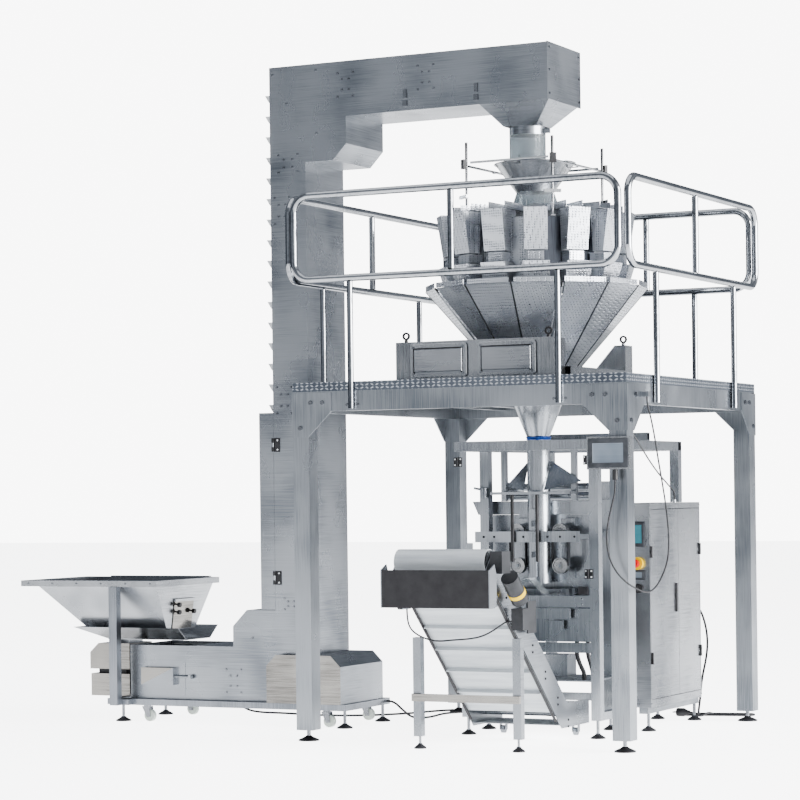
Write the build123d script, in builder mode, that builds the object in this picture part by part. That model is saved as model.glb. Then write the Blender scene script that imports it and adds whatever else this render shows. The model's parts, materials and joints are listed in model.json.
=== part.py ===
from build123d import *
import os
from math import cos, pi, radians, sin, tan

os.makedirs("parts", exist_ok=True)

# A bag packing line: a bucket elevator lifts product to a multi-head weigher on a
# platform, and the weigher drops portions into a vertical form, fill and seal machine.
# Millimetres, X along the line, Y from the front to the back, Z up. Coordinates are
# counted from the middle of the platform, and FOOTPRINT moves them so that the origin
# is the middle of the whole line's footprint, on the floor.
FOOTPRINT = (1016, 248, 0)

# Driving dimensions
DECK = 1800            # top of the platform deck
HALF_X = 900           # half the platform, along X
HALF_Y = 925           # half the platform, along Y
LEG = 90               # platform leg, outside
EDGE = 45              # checker plate edge band
BEAM = 100             # platform beam height
RAIL_R = 18            # handrail tube radius
RAIL_TOP = 2735        # handrail centre lines
RAIL_LOW = 2315
RAIL_BEND = 90
CASE_Y = 215           # half width of the elevator casing
CASE_TOP = 3530
COLUMN = (-1415, -1200)
ARM_END = 206
ARM_LOW = 3245
BOOT_TOP = 620
TAIL_TOP = 421
CASE_LOW = 127
BUCKET_PITCH = 111
SHEET = 3              # stainless sheet
WEIGHER_X = 40         # weigher and forming tube axis
HEADS = 14
HEAD_STEP = 360 / HEADS
FIRST_HEAD = -66.3     # direction of the first weighing head
TUBE_R = 60            # forming tube
BELT = (-120, 352)     # take-off conveyor belt, along X
CONVEYOR_SLOPE = 42.7
ROLLER_R = 59
RUNNING = 0.05         # radial clearance of a shaft in its bore

CORNER = (Align.MIN, Align.MIN, Align.MIN)
ON_BASE = (Align.CENTER, Align.CENTER, Align.MIN)
BOTH_SIDES = (1, -1)


# Shapes used again and again

def save(name, *pieces):
    """Write one node, a group of separate solids."""
    solids = [solid for piece in pieces for solid in piece.solids()]
    node = Compound(solids).moved(Location(FOOTPRINT))
    node.label = name
    export_step(node, f"parts/{name}.step")
    box = node.bounding_box()
    print(name, len(solids), [round(v) for v in (*box.min, *box.max)])


def block(x, y, z):
    """Rectangular solid between two limits on each axis."""
    with BuildPart(Plane(origin=(x[0], y[0], z[0]))) as piece:
        Box(x[1] - x[0], y[1] - y[0], z[1] - z[0], align=CORNER)
    return piece.part


def hollow_block(x, y, z, wall=SHEET, open_along="z"):
    """Square tube, open at both ends along one axis."""
    limits = {"x": x, "y": y, "z": z}
    sizes = {axis: high - low for axis, (low, high) in limits.items()}
    bore = {axis: size - (0 if axis == open_along else 2 * wall) for axis, size in sizes.items()}
    centre = [(low + high) / 2 for low, high in limits.values()]
    with BuildPart(Plane(origin=centre)) as piece:
        Box(*sizes.values())
        Box(*bore.values(), mode=Mode.SUBTRACT)
    return piece.part


def plate(outline, plane, thickness):
    """Flat plate with a straight-sided outline, thickened along the plane's normal."""
    with BuildPart() as piece:
        with BuildSketch(plane):
            with BuildLine():
                Polyline(*outline, close=True)
            make_face()
        extrude(amount=thickness)
    return piece.part


def side_plate(outline, y, thickness=SHEET):
    """Upright plate whose outline is given in X and Z, standing between y and y + thickness."""
    return plate(outline, Plane(origin=(0, y + thickness, 0), x_dir=(1, 0, 0), z_dir=(0, -1, 0)), thickness)


def end_plate(outline, x, thickness=SHEET):
    """Upright plate whose outline is given in Y and Z, standing between x and x + thickness."""
    return plate(outline, Plane(origin=(x, 0, 0), x_dir=(0, 1, 0), z_dir=(1, 0, 0)), thickness)


def rod(start, end, radius, bore=0):
    """Round bar or tube from one point to another."""
    along = Vector(*end) - Vector(*start)
    with BuildPart(Plane(origin=start, z_dir=along)) as piece:
        Cylinder(radius, along.length, align=ON_BASE)
        if bore:
            Cylinder(bore, along.length, align=ON_BASE, mode=Mode.SUBTRACT)
    return piece.part


def turned(origin, profile, axis=(0, 0, 1)):
    """Solid of revolution; the profile's points are (radius, distance along the axis)."""
    along = Vector(*axis)
    across = Vector(1, 0, 0) if abs(along.X) < 0.5 else Vector(0, 1, 0)
    with BuildPart() as piece:
        with BuildSketch(Plane(origin=origin, x_dir=across, z_dir=across.cross(along))):
            with BuildLine():
                Polyline(*profile, close=True)
            make_face()
        revolve(axis=Axis(origin, axis))
    return piece.part


def brick(near, far):
    """Six-sided solid between two four-cornered faces whose corners match in order."""
    sides = [[near[i], near[(i + 1) % 4], far[(i + 1) % 4], far[i]] for i in range(4)]
    faces = [Face(Wire.make_polygon(ring, close=True)) for ring in (near, far, *sides)]
    with BuildPart() as piece:
        add(Solid(Shell(faces)))
    return piece.part


def funnel_walls(top, bottom, wall=SHEET):
    """Four mitred plates from one level rectangle to another; each is (x limits, y limits, z)."""
    def corners(rectangle, inset):
        (x0, x1), (y0, y1), z = rectangle
        x0, x1, y0, y1 = x0 + inset, x1 - inset, y0 + inset, y1 - inset
        return [Vector(x0, y0, z), Vector(x1, y0, z), Vector(x1, y1, z), Vector(x0, y1, z)]

    high, high_in = corners(top, 0), corners(top, wall)
    low, low_in = corners(bottom, 0), corners(bottom, wall)
    walls = []
    for i in range(4):
        j = (i + 1) % 4
        walls.append(brick([high[i], high[j], high_in[j], high_in[i]],
                           [low[i], low[j], low_in[j], low_in[i]]))
    return walls


def bend(centre, start, end, radius=RAIL_BEND, tube=RAIL_R):
    """Quarter turn of round tube about a centre, from one direction to the other."""
    start, end = Vector(*start), Vector(*end)
    centre = Vector(*centre)
    with BuildPart() as piece:
        with BuildSketch(Plane(origin=centre + start * radius, x_dir=start, z_dir=end)):
            Circle(tube)
        revolve(axis=Axis(centre, start.cross(end)), revolution_arc=90)
    return piece.part


def hex_head(place, normal, across=13, height=5):
    """Bolt head that stands on a surface."""
    with BuildPart() as piece:
        with BuildSketch(Plane(origin=place, z_dir=normal)):
            RegularPolygon(across / 2, 6)
        extrude(amount=height)
    return piece.part


def around(pieces, angles, centre=(WEIGHER_X, 0, 0)):
    """Copies of pieces built along +X from the Z axis, set at angles about the centre."""
    return [Location(centre) * Rot(0, 0, angle) * piece for angle in angles for piece in pieces]


def cable(route, diameter):
    """Cable along straight runs joined by tangent arcs as large as the runs allow."""
    points = [Vector(*point) for point in route]
    radii = []
    for before, corner, after in zip(points, points[1:], points[2:]):
        run = min((corner - before).length, (after - corner).length)
        turn = radians((corner - before).get_angle(after - corner))
        radii.append(0.45 * run / tan(turn / 2))
    with BuildPart() as piece:
        with BuildLine():
            path = FilletPolyline(*points, radius=radii)
        with BuildSketch(Plane(origin=path @ 0, z_dir=path % 0)):
            Circle(diameter / 2)
        sweep(path=path)
    section = pi * diameter**2 / 4
    print("  cable", round(path.length), "mm, tightest", round(min(radii)),
          "mm, volume ratio", round(piece.part.volume / (section * path.length), 3))
    return piece.part


LEG_CORNERS = [(sx, sy) for sx in BOTH_SIDES for sy in BOTH_SIDES]


# Platform: legs, beams, joists and the bolted corner gussets

BEAM_TOP = DECK - EDGE
BEAM_LOW = BEAM_TOP - BEAM
LEG_LOW = 55
BEAM_W = 50
GUSSET = 5
GUSSET_REACH = 223     # from the platform's corner
GUSSET_DROP = 128      # below the beam
GUSSET_BOLTS = ((105, -50), (172, -50), (45, -175))   # from the corner and the gusset's top
CABLE_CLIP = (1, -1, 172, -50)     # the bolt place that the panel cable's clip takes


def leg_limits(sign, half):
    return (half - LEG, half) if sign > 0 else (-half, -half + LEG)


platform_frame = []
for sx, sy in LEG_CORNERS:
    platform_frame.append(hollow_block(leg_limits(sx, HALF_X), leg_limits(sy, HALF_Y), (LEG_LOW, BEAM_LOW)))
for sy in BOTH_SIDES:
    y = (HALF_Y - BEAM_W, HALF_Y) if sy > 0 else (-HALF_Y, -HALF_Y + BEAM_W)
    platform_frame.append(hollow_block((-HALF_X, HALF_X), y, (BEAM_LOW, BEAM_TOP), open_along="x"))
for sx in BOTH_SIDES:
    x = (HALF_X - BEAM_W, HALF_X) if sx > 0 else (-HALF_X, -HALF_X + BEAM_W)
    platform_frame.append(hollow_block(x, (BEAM_W - HALF_Y, HALF_Y - BEAM_W), (BEAM_LOW, BEAM_TOP), open_along="y"))
JOISTS = (-560, -330, 330 + 2 * WEIGHER_X, 640)
for x in JOISTS:
    platform_frame.append(hollow_block((x - 20, x + 20), (BEAM_W - HALF_Y, HALF_Y - BEAM_W),
                                       (BEAM_TOP - 60, BEAM_TOP), open_along="y"))


def gusset_outline(sign, half):
    """Gusset seen square on: flush with the corner, cut back to the leg below the beam."""
    edge = sign * half
    inward = -sign
    top = BEAM_TOP - 6
    return [(edge, top), (edge + inward * GUSSET_REACH, top), (edge + inward * GUSSET_REACH, BEAM_LOW),
            (edge + inward * LEG, BEAM_LOW - GUSSET_DROP), (edge, BEAM_LOW - GUSSET_DROP)]


for sx, sy in LEG_CORNERS:
    y = HALF_Y if sy > 0 else -HALF_Y - GUSSET
    x = HALF_X if sx > 0 else -HALF_X - GUSSET
    platform_frame.append(side_plate(gusset_outline(sx, HALF_X), y, GUSSET))
    platform_frame.append(end_plate(gusset_outline(sy, HALF_Y), x, GUSSET))
platform_frame.append(block((HALF_X + GUSSET, HALF_X + 48), (-764, -732), (1688, 1712)))
save("platform_frame", *platform_frame)

# Deck: checker plates about the opening over the bagger, and the edge band

HATCH = 230            # half the square hatch under the weigher
DECK_T = 6
deck = []
inner_x, inner_y = HALF_X - DECK_T, HALF_Y - DECK_T
hatch_x = (WEIGHER_X - HATCH, WEIGHER_X + HATCH)
deck_z = (DECK - DECK_T, DECK)
deck.append(block((-inner_x, hatch_x[0]), (-inner_y, inner_y), deck_z))
deck.append(block((hatch_x[1], inner_x), (-inner_y, inner_y), deck_z))
deck.append(block(hatch_x, (-inner_y, -HATCH), deck_z))
deck.append(block(hatch_x, (HATCH, inner_y), deck_z))
for y in ((-HALF_Y, -inner_y), (inner_y, HALF_Y)):
    deck.append(block((-HALF_X, HALF_X), y, (BEAM_TOP, DECK)))
for x in ((-HALF_X, -inner_x), (inner_x, HALF_X)):
    deck.append(block(x, (-inner_y, inner_y), (BEAM_TOP, DECK)))
for x in ((-600, -560), (-310, -270), (390, 430), (600, 640)):
    deck.append(block(x, (-inner_y, inner_y), (BEAM_TOP, DECK - DECK_T)))
save("deck_plates", *deck)

# Handrails: four rounded loops outside the deck, each on two posts

POST_R = 15
RAIL_OUT = 16          # rail centre line outside the platform
RAIL_CORNER = 875      # half a loop, centre line to centre line
POST_AT = 560


def handrail(along, across, offset, half, mid_bars):
    """One loop: along and across are unit directions, offset is its distance from the centre."""
    def at(s, z):
        return tuple(along[i] * s + across[i] * offset + (0, 0, z)[i] for i in range(3))

    up, down = (0, 0, 1), (0, 0, -1)
    back = tuple(-a for a in along)
    straight = half - RAIL_BEND
    pieces = [rod(at(-straight, z), at(straight, z), RAIL_R) for z in (RAIL_TOP, RAIL_LOW)]
    for s, outward in ((half, along), (-half, back)):
        pieces.append(rod(at(s, RAIL_LOW + RAIL_BEND), at(s, RAIL_TOP - RAIL_BEND), RAIL_R))
        inner = s - RAIL_BEND if s > 0 else s + RAIL_BEND
        pieces.append(bend(at(inner, RAIL_TOP - RAIL_BEND), outward, up))
        pieces.append(bend(at(inner, RAIL_LOW + RAIL_BEND), outward, down))
    for s in mid_bars:
        pieces.append(rod(at(s, RAIL_LOW + RAIL_R), at(s, RAIL_TOP - RAIL_R), RAIL_R - 2))
    for s in (-POST_AT, POST_AT):
        pieces.append(rod(at(s, BEAM_LOW + 10), at(s, RAIL_LOW - RAIL_R), POST_R))
    return pieces


rails = []
rails += handrail((1, 0, 0), (0, -1, 0), HALF_Y + RAIL_OUT, RAIL_CORNER, (0,))
rails += handrail((1, 0, 0), (0, 1, 0), HALF_Y + RAIL_OUT, RAIL_CORNER, (-285, 285))
rails += handrail((0, 1, 0), (1, 0, 0), HALF_X + RAIL_OUT, RAIL_CORNER + 40, (0,))
rails += handrail((0, 1, 0), (-1, 0, 0), HALF_X + RAIL_OUT, RAIL_CORNER + 40, (0,))
save("handrails", *rails)


# Levelling feet: a threaded stud in a rubber-soled cone

def foot(x, y, top, pad=50, stud=8):
    return turned((x, y, 0), [(0, 0), (pad, 0), (pad, 6), (pad * 0.4, 20), (stud + 3, 26), (stud, 26),
                              (stud, top), (0, top)])


BASE_FEET = [(x, y) for x in (-2385, -1000) for y in (-220, 220)]
BASE_LOW = 93
BAGGER_FEET = [(-235, -305), (480, -305), (-262, 0), (-262, 835), (360, 160), (570, 160), (360, 835), (570, 835)]
STAND_LEGS = ((-145, -1050), (379, -1050))
feet = []
for sx, sy in LEG_CORNERS:
    feet.append(foot(sx * (HALF_X - LEG / 2), sy * (HALF_Y - LEG / 2), LEG_LOW, pad=52, stud=10))
feet += [foot(x, y, BASE_LOW, pad=42) for x, y in BASE_FEET]
feet += [foot(x, y, 90, pad=38) for x, y in BAGGER_FEET]
feet += [foot(x, y, 60, pad=30, stud=6) for x, y in STAND_LEGS]
save("leveling_feet", *feet)

# Elevator casing: flat front and rear plates with skins between them

HEAD_SIDE = -953       # right edge of the head plate
ELBOW_LOW = 3011
fronts = {
    "column": [(COLUMN[0], BOOT_TOP), (COLUMN[1], BOOT_TOP), (COLUMN[1], ELBOW_LOW), (COLUMN[0], ELBOW_LOW)],
    "head": [(COLUMN[0], ELBOW_LOW), (-1032, ELBOW_LOW), (HEAD_SIDE, 3094), (HEAD_SIDE, CASE_TOP),
             (COLUMN[0], CASE_TOP)],
    "arm": [(HEAD_SIDE, ARM_LOW), (ARM_END, ARM_LOW), (ARM_END, CASE_TOP), (HEAD_SIDE, CASE_TOP)],
    "boot": [(-1681, CASE_LOW), (COLUMN[1], CASE_LOW), (COLUMN[1], BOOT_TOP), (-1594, BOOT_TOP), (-1681, 532)],
    "tail": [(-2338, CASE_LOW), (-1681, CASE_LOW), (-1681, TAIL_TOP), (-2338, TAIL_TOP)],
}
casing = []
for outline in fronts.values():
    casing.append(side_plate(outline, -CASE_Y))
    casing.append(side_plate(outline, CASE_Y - SHEET))
casing.append(side_plate([(HEAD_SIDE, ARM_LOW - 6), (ARM_END, ARM_LOW - 6), (ARM_END, 3300), (HEAD_SIDE, 3300)],
                         -CASE_Y - 2, 2))
INSIDE = (-CASE_Y + SHEET, CASE_Y - SHEET)
HATCH_ARM = (-188, ARM_END)
casing.append(block((COLUMN[0], ARM_END), INSIDE, (CASE_TOP - SHEET, CASE_TOP)))
casing.append(block((HEAD_SIDE, HATCH_ARM[0]), INSIDE, (ARM_LOW, ARM_LOW + SHEET)))
casing.append(block((HEAD_SIDE - SHEET, HEAD_SIDE), INSIDE, (3094, ARM_LOW)))
casing.append(brick([Vector(-1032, INSIDE[0], ELBOW_LOW), Vector(HEAD_SIDE, INSIDE[0], 3094),
                     Vector(HEAD_SIDE - SHEET, INSIDE[0], 3094), Vector(-1032, INSIDE[0], ELBOW_LOW + SHEET)],
                    [Vector(-1032, INSIDE[1], ELBOW_LOW), Vector(HEAD_SIDE, INSIDE[1], 3094),
                     Vector(HEAD_SIDE - SHEET, INSIDE[1], 3094), Vector(-1032, INSIDE[1], ELBOW_LOW + SHEET)]))
casing.append(block((COLUMN[1], -1032), INSIDE, (ELBOW_LOW, ELBOW_LOW + SHEET)))
casing.append(block((COLUMN[1] - SHEET, COLUMN[1]), INSIDE, (CASE_LOW + SHEET, ELBOW_LOW)))
casing.append(block((COLUMN[0], COLUMN[0] + SHEET), INSIDE, (3430, CASE_TOP - SHEET)))
for y in ((INSIDE[0], -172), (172, INSIDE[1])):
    casing.append(block((COLUMN[0], COLUMN[0] + SHEET), y, (BOOT_TOP, 3430)))
casing.append(block((-1594, COLUMN[0] - 0.5), INSIDE, (BOOT_TOP - SHEET, BOOT_TOP)))
casing.append(brick([Vector(-1594, INSIDE[0], BOOT_TOP), Vector(-1681, INSIDE[0], 532),
                     Vector(-1681 + SHEET, INSIDE[0], 532), Vector(-1594, INSIDE[0], BOOT_TOP - SHEET)],
                    [Vector(-1594, INSIDE[1], BOOT_TOP), Vector(-1681, INSIDE[1], 532),
                     Vector(-1681 + SHEET, INSIDE[1], 532), Vector(-1594, INSIDE[1], BOOT_TOP - SHEET)]))
casing.append(block((-1681, -1681 + SHEET), INSIDE, (TAIL_TOP, 532)))
casing.append(block((-1950, -1681), INSIDE, (TAIL_TOP - SHEET, TAIL_TOP)))
casing.append(block((-2338, -2338 + SHEET), INSIDE, (CASE_LOW + SHEET, TAIL_TOP)))
casing.append(block((-2338, COLUMN[1]), INSIDE, (CASE_LOW, CASE_LOW + SHEET)))
casing.append(side_plate([(-2320, 150), (-1985, 150), (-1985, 335), (-2320, 335)], -CASE_Y - 2, 2))

# Discharge hopper under the arm: square funnel, round outlet ring and its side latch
OUTLET_R = 94
casing += funnel_walls((HATCH_ARM, (-190, 190), ARM_LOW), ((-OUTLET_R, OUTLET_R), (-OUTLET_R, OUTLET_R), 3132))
casing.append(rod((0, 0, 3088), (0, 0, 3132), OUTLET_R, OUTLET_R - SHEET))
casing.append(block((OUTLET_R + 1, OUTLET_R + 30), (-12, 12), (3096, 3118)))
for y in ((-CASE_Y + SHEET, -190), (190, CASE_Y - SHEET)):
    casing.append(block(HATCH_ARM, y, (ARM_LOW, ARM_LOW + SHEET)))
save("elevator_casing", *casing)

# Drop tube of clear plastic, the flared clear sleeve under the infeed funnel,
# and the clear chute guard below the forming tube
clear = [rod((0, 0, 2936), (0, 0, 3087), OUTLET_R, OUTLET_R - SHEET)]
clear.append(turned((WEIGHER_X, 0, 0), [(98, 2788), (120, 2722), (117, 2722), (95, 2788)]))
for sx in BOTH_SIDES:
    clear.append(plate([(sx * 12, 800), (sx * 98, 715), (sx * 98, 711), (sx * 12, 796)],
                       Plane(origin=(WEIGHER_X + 25, -150, 0), x_dir=(1, 0, 0), z_dir=(0, -1, 0)), 90))
save("clear_tubes", *clear)

# Bucket chain: buckets up the left of the column and back down inside it, along the arm
# and along the tail, on two strands of chain


def bucket(x, z, inward, up=1):
    """Scoop with its lip at x, its rim at z and its back on the inward side."""
    def profile(points):
        return [(x + inward * a, z - up * b) for a, b in points]

    with BuildPart() as piece:
        with BuildSketch(Plane.XZ.offset(-165)):
            with BuildLine():
                Polyline(*profile(((0, 0), (118, 0), (118, 70), (84, 78), (44, 62), (18, 30))), close=True)
            make_face()
        extrude(amount=330)
        with BuildSketch(Plane.XZ.offset(-162)):
            with BuildLine():
                Polyline(*profile(((7, -2), (115, -2), (115, 67), (85, 74), (47, 58), (22, 27))), close=True)
            make_face()
        extrude(amount=324, mode=Mode.SUBTRACT)
    return piece.part


buckets = []
rim = 3390
while rim > BOOT_TOP + 60:
    buckets.append(bucket(-1470, rim, 1))
    rim -= BUCKET_PITCH
RETURN_X = -1212
for k in range(20):
    buckets.append(bucket(RETURN_X, 1000 + k * BUCKET_PITCH - 70, -1, up=-1))
for k in range(7):
    x = -930 + k * 130
    buckets.append(bucket(x - 118, 3500, 1))
    buckets.append(bucket(x - 118, 3262, 1, up=-1))
for k in range(4):
    buckets.append(bucket(-2310 + k * 130, 395, 1))
STRAND_X = (-1388, -1218)
for y in (-184, 184):
    for x in STRAND_X:
        buckets.append(block((x - 5, x + 5), (y - 3, y + 3), (345, 3360)))
    for z in (3512, 3255):
        buckets.append(block((-1040, 180), (y - 3, y + 3), (z - 5, z + 5)))
    for z in (180, 405):
        buckets.append(block((-2300, -1760), (y - 3, y + 3), (z - 5, z + 5)))
save("bucket_chain", *buckets)

# Drive shaft with two sprockets at the foot of the column, in two bearing blocks
DRIVE = (-1303, 260)
SHAFT_R = 15


def sprocket(y):
    teeth = 16
    with BuildPart() as piece:
        with BuildSketch(Plane.XZ.offset(-y)):
            with Locations((DRIVE[0], DRIVE[1])):
                Circle(72)
                with PolarLocations(72, teeth):
                    Rectangle(12, 9)
                Circle(SHAFT_R, mode=Mode.SUBTRACT)
        extrude(amount=10)
    return piece.part


save("drive_sprockets", rod((DRIVE[0], -208, DRIVE[1]), (DRIVE[0], 208, DRIVE[1]), SHAFT_R),
     sprocket(-150), sprocket(160))

# Elevator base: channels, cross members, bearing blocks and the hopper's posts
base = []
for y in ((-260, -200), (200, 260)):
    base.append(block((-2464, -975), y, (BASE_LOW, CASE_LOW - 0.5)))
for x in ((-2464, -2404), (-1700, -1640), (-1035, -975)):
    base.append(block(x, (-200, 200), (BASE_LOW, CASE_LOW - 0.5)))
for y in ((-212, -190), (190, 212)):
    with BuildPart() as bearing:
        with BuildSketch(Plane.XZ.offset(-y[1])):
            with Locations((DRIVE[0], DRIVE[1])):
                RectangleRounded(84, 60, 8)
                Circle(SHAFT_R + RUNNING, mode=Mode.SUBTRACT)
        extrude(amount=y[1] - y[0])
    base.append(bearing.part)
HOPPER_POST_X = (-2392, -2342)
for y in ((-348, -303), (303, 348)):
    base.append(hollow_block(HOPPER_POST_X, y, (CASE_LOW - 32, 744.5)))
    inner = (-303, -260) if y[0] < 0 else (260, 303)
    base.append(block((-2400, -2300), inner, (CASE_LOW - 32, CASE_LOW - 2)))
save("elevator_base", *base)

# Covers held on with screws: arm end, drive cover, electrical boxes, chain tensioners
covers = [block((ARM_END, ARM_END + 4), (-CASE_Y - 3, CASE_Y + 3), (ARM_LOW - 4, CASE_TOP + 3))]
M_LEFT, M_RIGHT, M_FRONT, M_BACK, M_TOP, M_CUT = -1440, -993, -280, 212, 385, 58
cover_front = [(M_LEFT, CASE_LOW), (M_RIGHT, CASE_LOW), (M_RIGHT, M_TOP - M_CUT), (M_RIGHT - M_CUT, M_TOP),
               (M_LEFT + M_CUT, M_TOP), (M_LEFT, M_TOP - M_CUT)]
covers.append(side_plate(cover_front, M_FRONT))
IN_FRONT = (M_FRONT + SHEET, -CASE_Y - 0.5)
RIGHT_SIDE = (-CASE_Y, M_BACK)
covers.append(block((M_LEFT, M_LEFT + SHEET), IN_FRONT, (CASE_LOW, M_TOP - M_CUT)))
covers.append(block((M_LEFT + M_CUT, M_RIGHT - M_CUT), IN_FRONT, (M_TOP - SHEET, M_TOP)))
covers.append(block((COLUMN[1] + 1, M_RIGHT - M_CUT), RIGHT_SIDE, (M_TOP - SHEET, M_TOP)))
covers.append(block((M_RIGHT - SHEET, M_RIGHT), (IN_FRONT[0], M_BACK), (CASE_LOW, M_TOP - M_CUT)))
covers.append(block((COLUMN[1] + 1, M_RIGHT - SHEET), (M_BACK - SHEET, M_BACK), (CASE_LOW, M_TOP - M_CUT)))


def slant(x_low, x_high, y_limits):
    """Sloping strip along the cut corner of the drive cover."""
    inner = SHEET if x_low < x_high else -SHEET
    rings = [[Vector(x_low, y, M_TOP - M_CUT), Vector(x_high, y, M_TOP), Vector(x_high, y, M_TOP - SHEET),
              Vector(x_low + inner, y, M_TOP - M_CUT)] for y in y_limits]
    return brick(*rings)


covers.append(slant(M_LEFT, M_LEFT + M_CUT, IN_FRONT))
covers.append(slant(M_RIGHT, M_RIGHT - M_CUT, (IN_FRONT[0], M_BACK)))

# Weigher base sizes, shared by its housing and its covers
W_FRONT, W_BACK_OF_BOX = -580, -430
W_X = (-489, 380)
W_TOP = 2005
for x in ((-400, -92), (-25, 286)):
    with BuildPart() as raised:
        with BuildSketch(Plane.XZ.offset(-W_FRONT)):
            with Locations(((x[0] + x[1]) / 2, 1908)):
                RectangleRounded(x[1] - x[0], 158, 6)
        extrude(amount=10)
        with BuildSketch(Plane.XZ.offset(-W_FRONT + 10)):
            with Locations(((x[0] + x[1]) / 2, 1900)):
                RectangleRounded(x[1] - x[0] - 54, 122, 12)
        extrude(amount=6)
    covers.append(raised.part)
for y in ((-CASE_Y - 34, -CASE_Y - 2), (CASE_Y + 1, CASE_Y + 33)):
    covers.append(block((-2249, -2045), y, (206, 300)))
    middle = (y[0] + y[1]) / 2
    covers.append(rod((-2045, middle, 253), (-1930, middle, 253), 7))
    covers.append(block((-1952, -1936), (middle - 11, middle + 11), (242, 264)))
save("bolted_covers", *covers)

# Drives: elevator gearmotor, conveyor gearmotor and speed control, feeder's magnetic drive
drives = [block((-1190, -1110), (-110, 60), (CASE_LOW, 330)),
          rod((-1128, 60, 235), (-1128, 205, 235), 62),
          rod((-1110, -60, 235), (-1060, -60, 235), 30)]
VIB = (-2668, -2408)
drives.append(side_plate([(VIB[0], 277), (VIB[1], 277), (VIB[1], 421), (VIB[0] + 55, 421), (VIB[0], 370)], -118, 236))
drives.append(block((VIB[0] + 6, VIB[1]), (-118, 118), (CASE_LOW, 251)))
drives.append(block((VIB[0] + 40, VIB[1] - 40), (-90, 90), (251, 277)))
drives.append(block((VIB[1], -2339), (-60, 60), (160, 240)))
HEAD_Y, HEAD_Z = -1300, 912
M_X = 376
drives.append(block((M_X, M_X + 62), (HEAD_Y - 48, HEAD_Y + 48), (HEAD_Z - 52, HEAD_Z + 52)))
slope = (0, cos(radians(CONVEYOR_SLOPE)), -sin(radians(CONVEYOR_SLOPE)))
motor_foot = (M_X + 50, HEAD_Y + 60, HEAD_Z - 72)
motor_end = tuple(a + 165 * b for a, b in zip(motor_foot, slope))
drives.append(rod(motor_foot, motor_end, 42))
drives.append(block((M_X + 10, M_X + 70), (-1135, -1060), (585, 688)))
drives.append(block((M_X + 10, M_X + 18), (-958, -858), (560, 715)))
save("drive_units", *drives)

# Elevator door: a shallow tray over the buckets, hinged on the casing's front edge
DOOR_Z = (BOOT_TOP + 3, 1680)
DOOR_X = (-1503, COLUMN[0] - 1)
DOOR_AXIS = (COLUMN[0], -CASE_Y - 8)
KNUCKLE_R = 7
DOOR_HINGES = (794, 1507)
HINGE_H = 74
door = [block((DOOR_X[0], DOOR_X[0] + 2), (-CASE_Y, CASE_Y), DOOR_Z)]
for y in ((-CASE_Y, -CASE_Y + 2), (CASE_Y - 2, CASE_Y)):
    door.append(block((DOOR_X[0] + 2, DOOR_X[1]), y, DOOR_Z))
for z in ((DOOR_Z[0], DOOR_Z[0] + 2), (DOOR_Z[1] - 2, DOOR_Z[1])):
    door.append(block((DOOR_X[0] + 2, DOOR_X[0] + 28), (-CASE_Y + 2, CASE_Y - 2), z))
for z in DOOR_HINGES:
    leaf_z = (z - HINGE_H / 2, z + HINGE_H / 2)
    door.append(block((DOOR_AXIS[0] - 42, DOOR_AXIS[0] - 10), (-CASE_Y - 6, -CASE_Y), leaf_z))
    door.append(rod((DOOR_AXIS[0], DOOR_AXIS[1], z - 11.7), (DOOR_AXIS[0], DOOR_AXIS[1], z + 11.7), KNUCKLE_R,
                    2.5 + RUNNING))
    door.append(block((DOOR_AXIS[0] - 10, DOOR_AXIS[0] - KNUCKLE_R + 0.5), (-CASE_Y - 9, -CASE_Y - 5),
                      (z - 11.7, z + 11.7)))
save("elevator_door", *door)

# Cabinet sizes, needed by its hinges
CAB_X = (330, 582)
CAB_Y = (125, 870)
CAB_Z = (122, 1173)
CAB_DOOR_X = (582.5, 600)
CAB_AXIS_X = 606
CAB_HINGE_Z = (375, 922)
CAB_HINGE_Y = (140, 855)

# Door hinges: fixed leaves, knuckles and pins, on the casing, the cabinet and the guard
hinges = []
for z in DOOR_HINGES:
    leaf_z = (z - HINGE_H / 2, z + HINGE_H / 2)
    hinges.append(block((DOOR_AXIS[0] + 9, DOOR_AXIS[0] + 38), (-CASE_Y - 6, -CASE_Y), leaf_z))
    hinges.append(rod((DOOR_AXIS[0], DOOR_AXIS[1], z - 36), (DOOR_AXIS[0], DOOR_AXIS[1], z + 36), 2.5))
    for low in (z - 36, z + 12):
        hinges.append(rod((DOOR_AXIS[0], DOOR_AXIS[1], low), (DOOR_AXIS[0], DOOR_AXIS[1], low + 24), KNUCKLE_R, 2.5))
        hinges.append(block((DOOR_AXIS[0] + KNUCKLE_R - 0.5, DOOR_AXIS[0] + 9), (-CASE_Y - 9, -CASE_Y - 5),
                            (low, low + 24)))
CAB_KNUCKLE = 5.5
for y in CAB_HINGE_Y:
    for z in CAB_HINGE_Z:
        hinges.append(rod((CAB_AXIS_X, y, z - 30), (CAB_AXIS_X, y, z + 30), 2))
        leaf_y = (126, y - 0.5) if y < 500 else (y + 0.5, 869)
        for low in (z - 30, z + 10):
            hinges.append(rod((CAB_AXIS_X, y, low), (CAB_AXIS_X, y, low + 20), CAB_KNUCKLE, 2))
            hinges.append(block((CAB_DOOR_X[1], CAB_DOOR_X[1] + 2), leaf_y, (low, low + 20)))
for x, y, z in ((-265, -336, 1396), (452, -336, 1396), (452, -336, 825)):
    hinges.append(block((x - 22, x + 22), (y, y + 6), (z - 24, z + 24)))
    hinges.append(rod((x, y - 4, z - 24), (x, y - 4, z + 24), 4))
hinges.append(block((398, 450), (-345, -331), (722, 762)))
save("door_hinges", *hinges)

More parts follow.
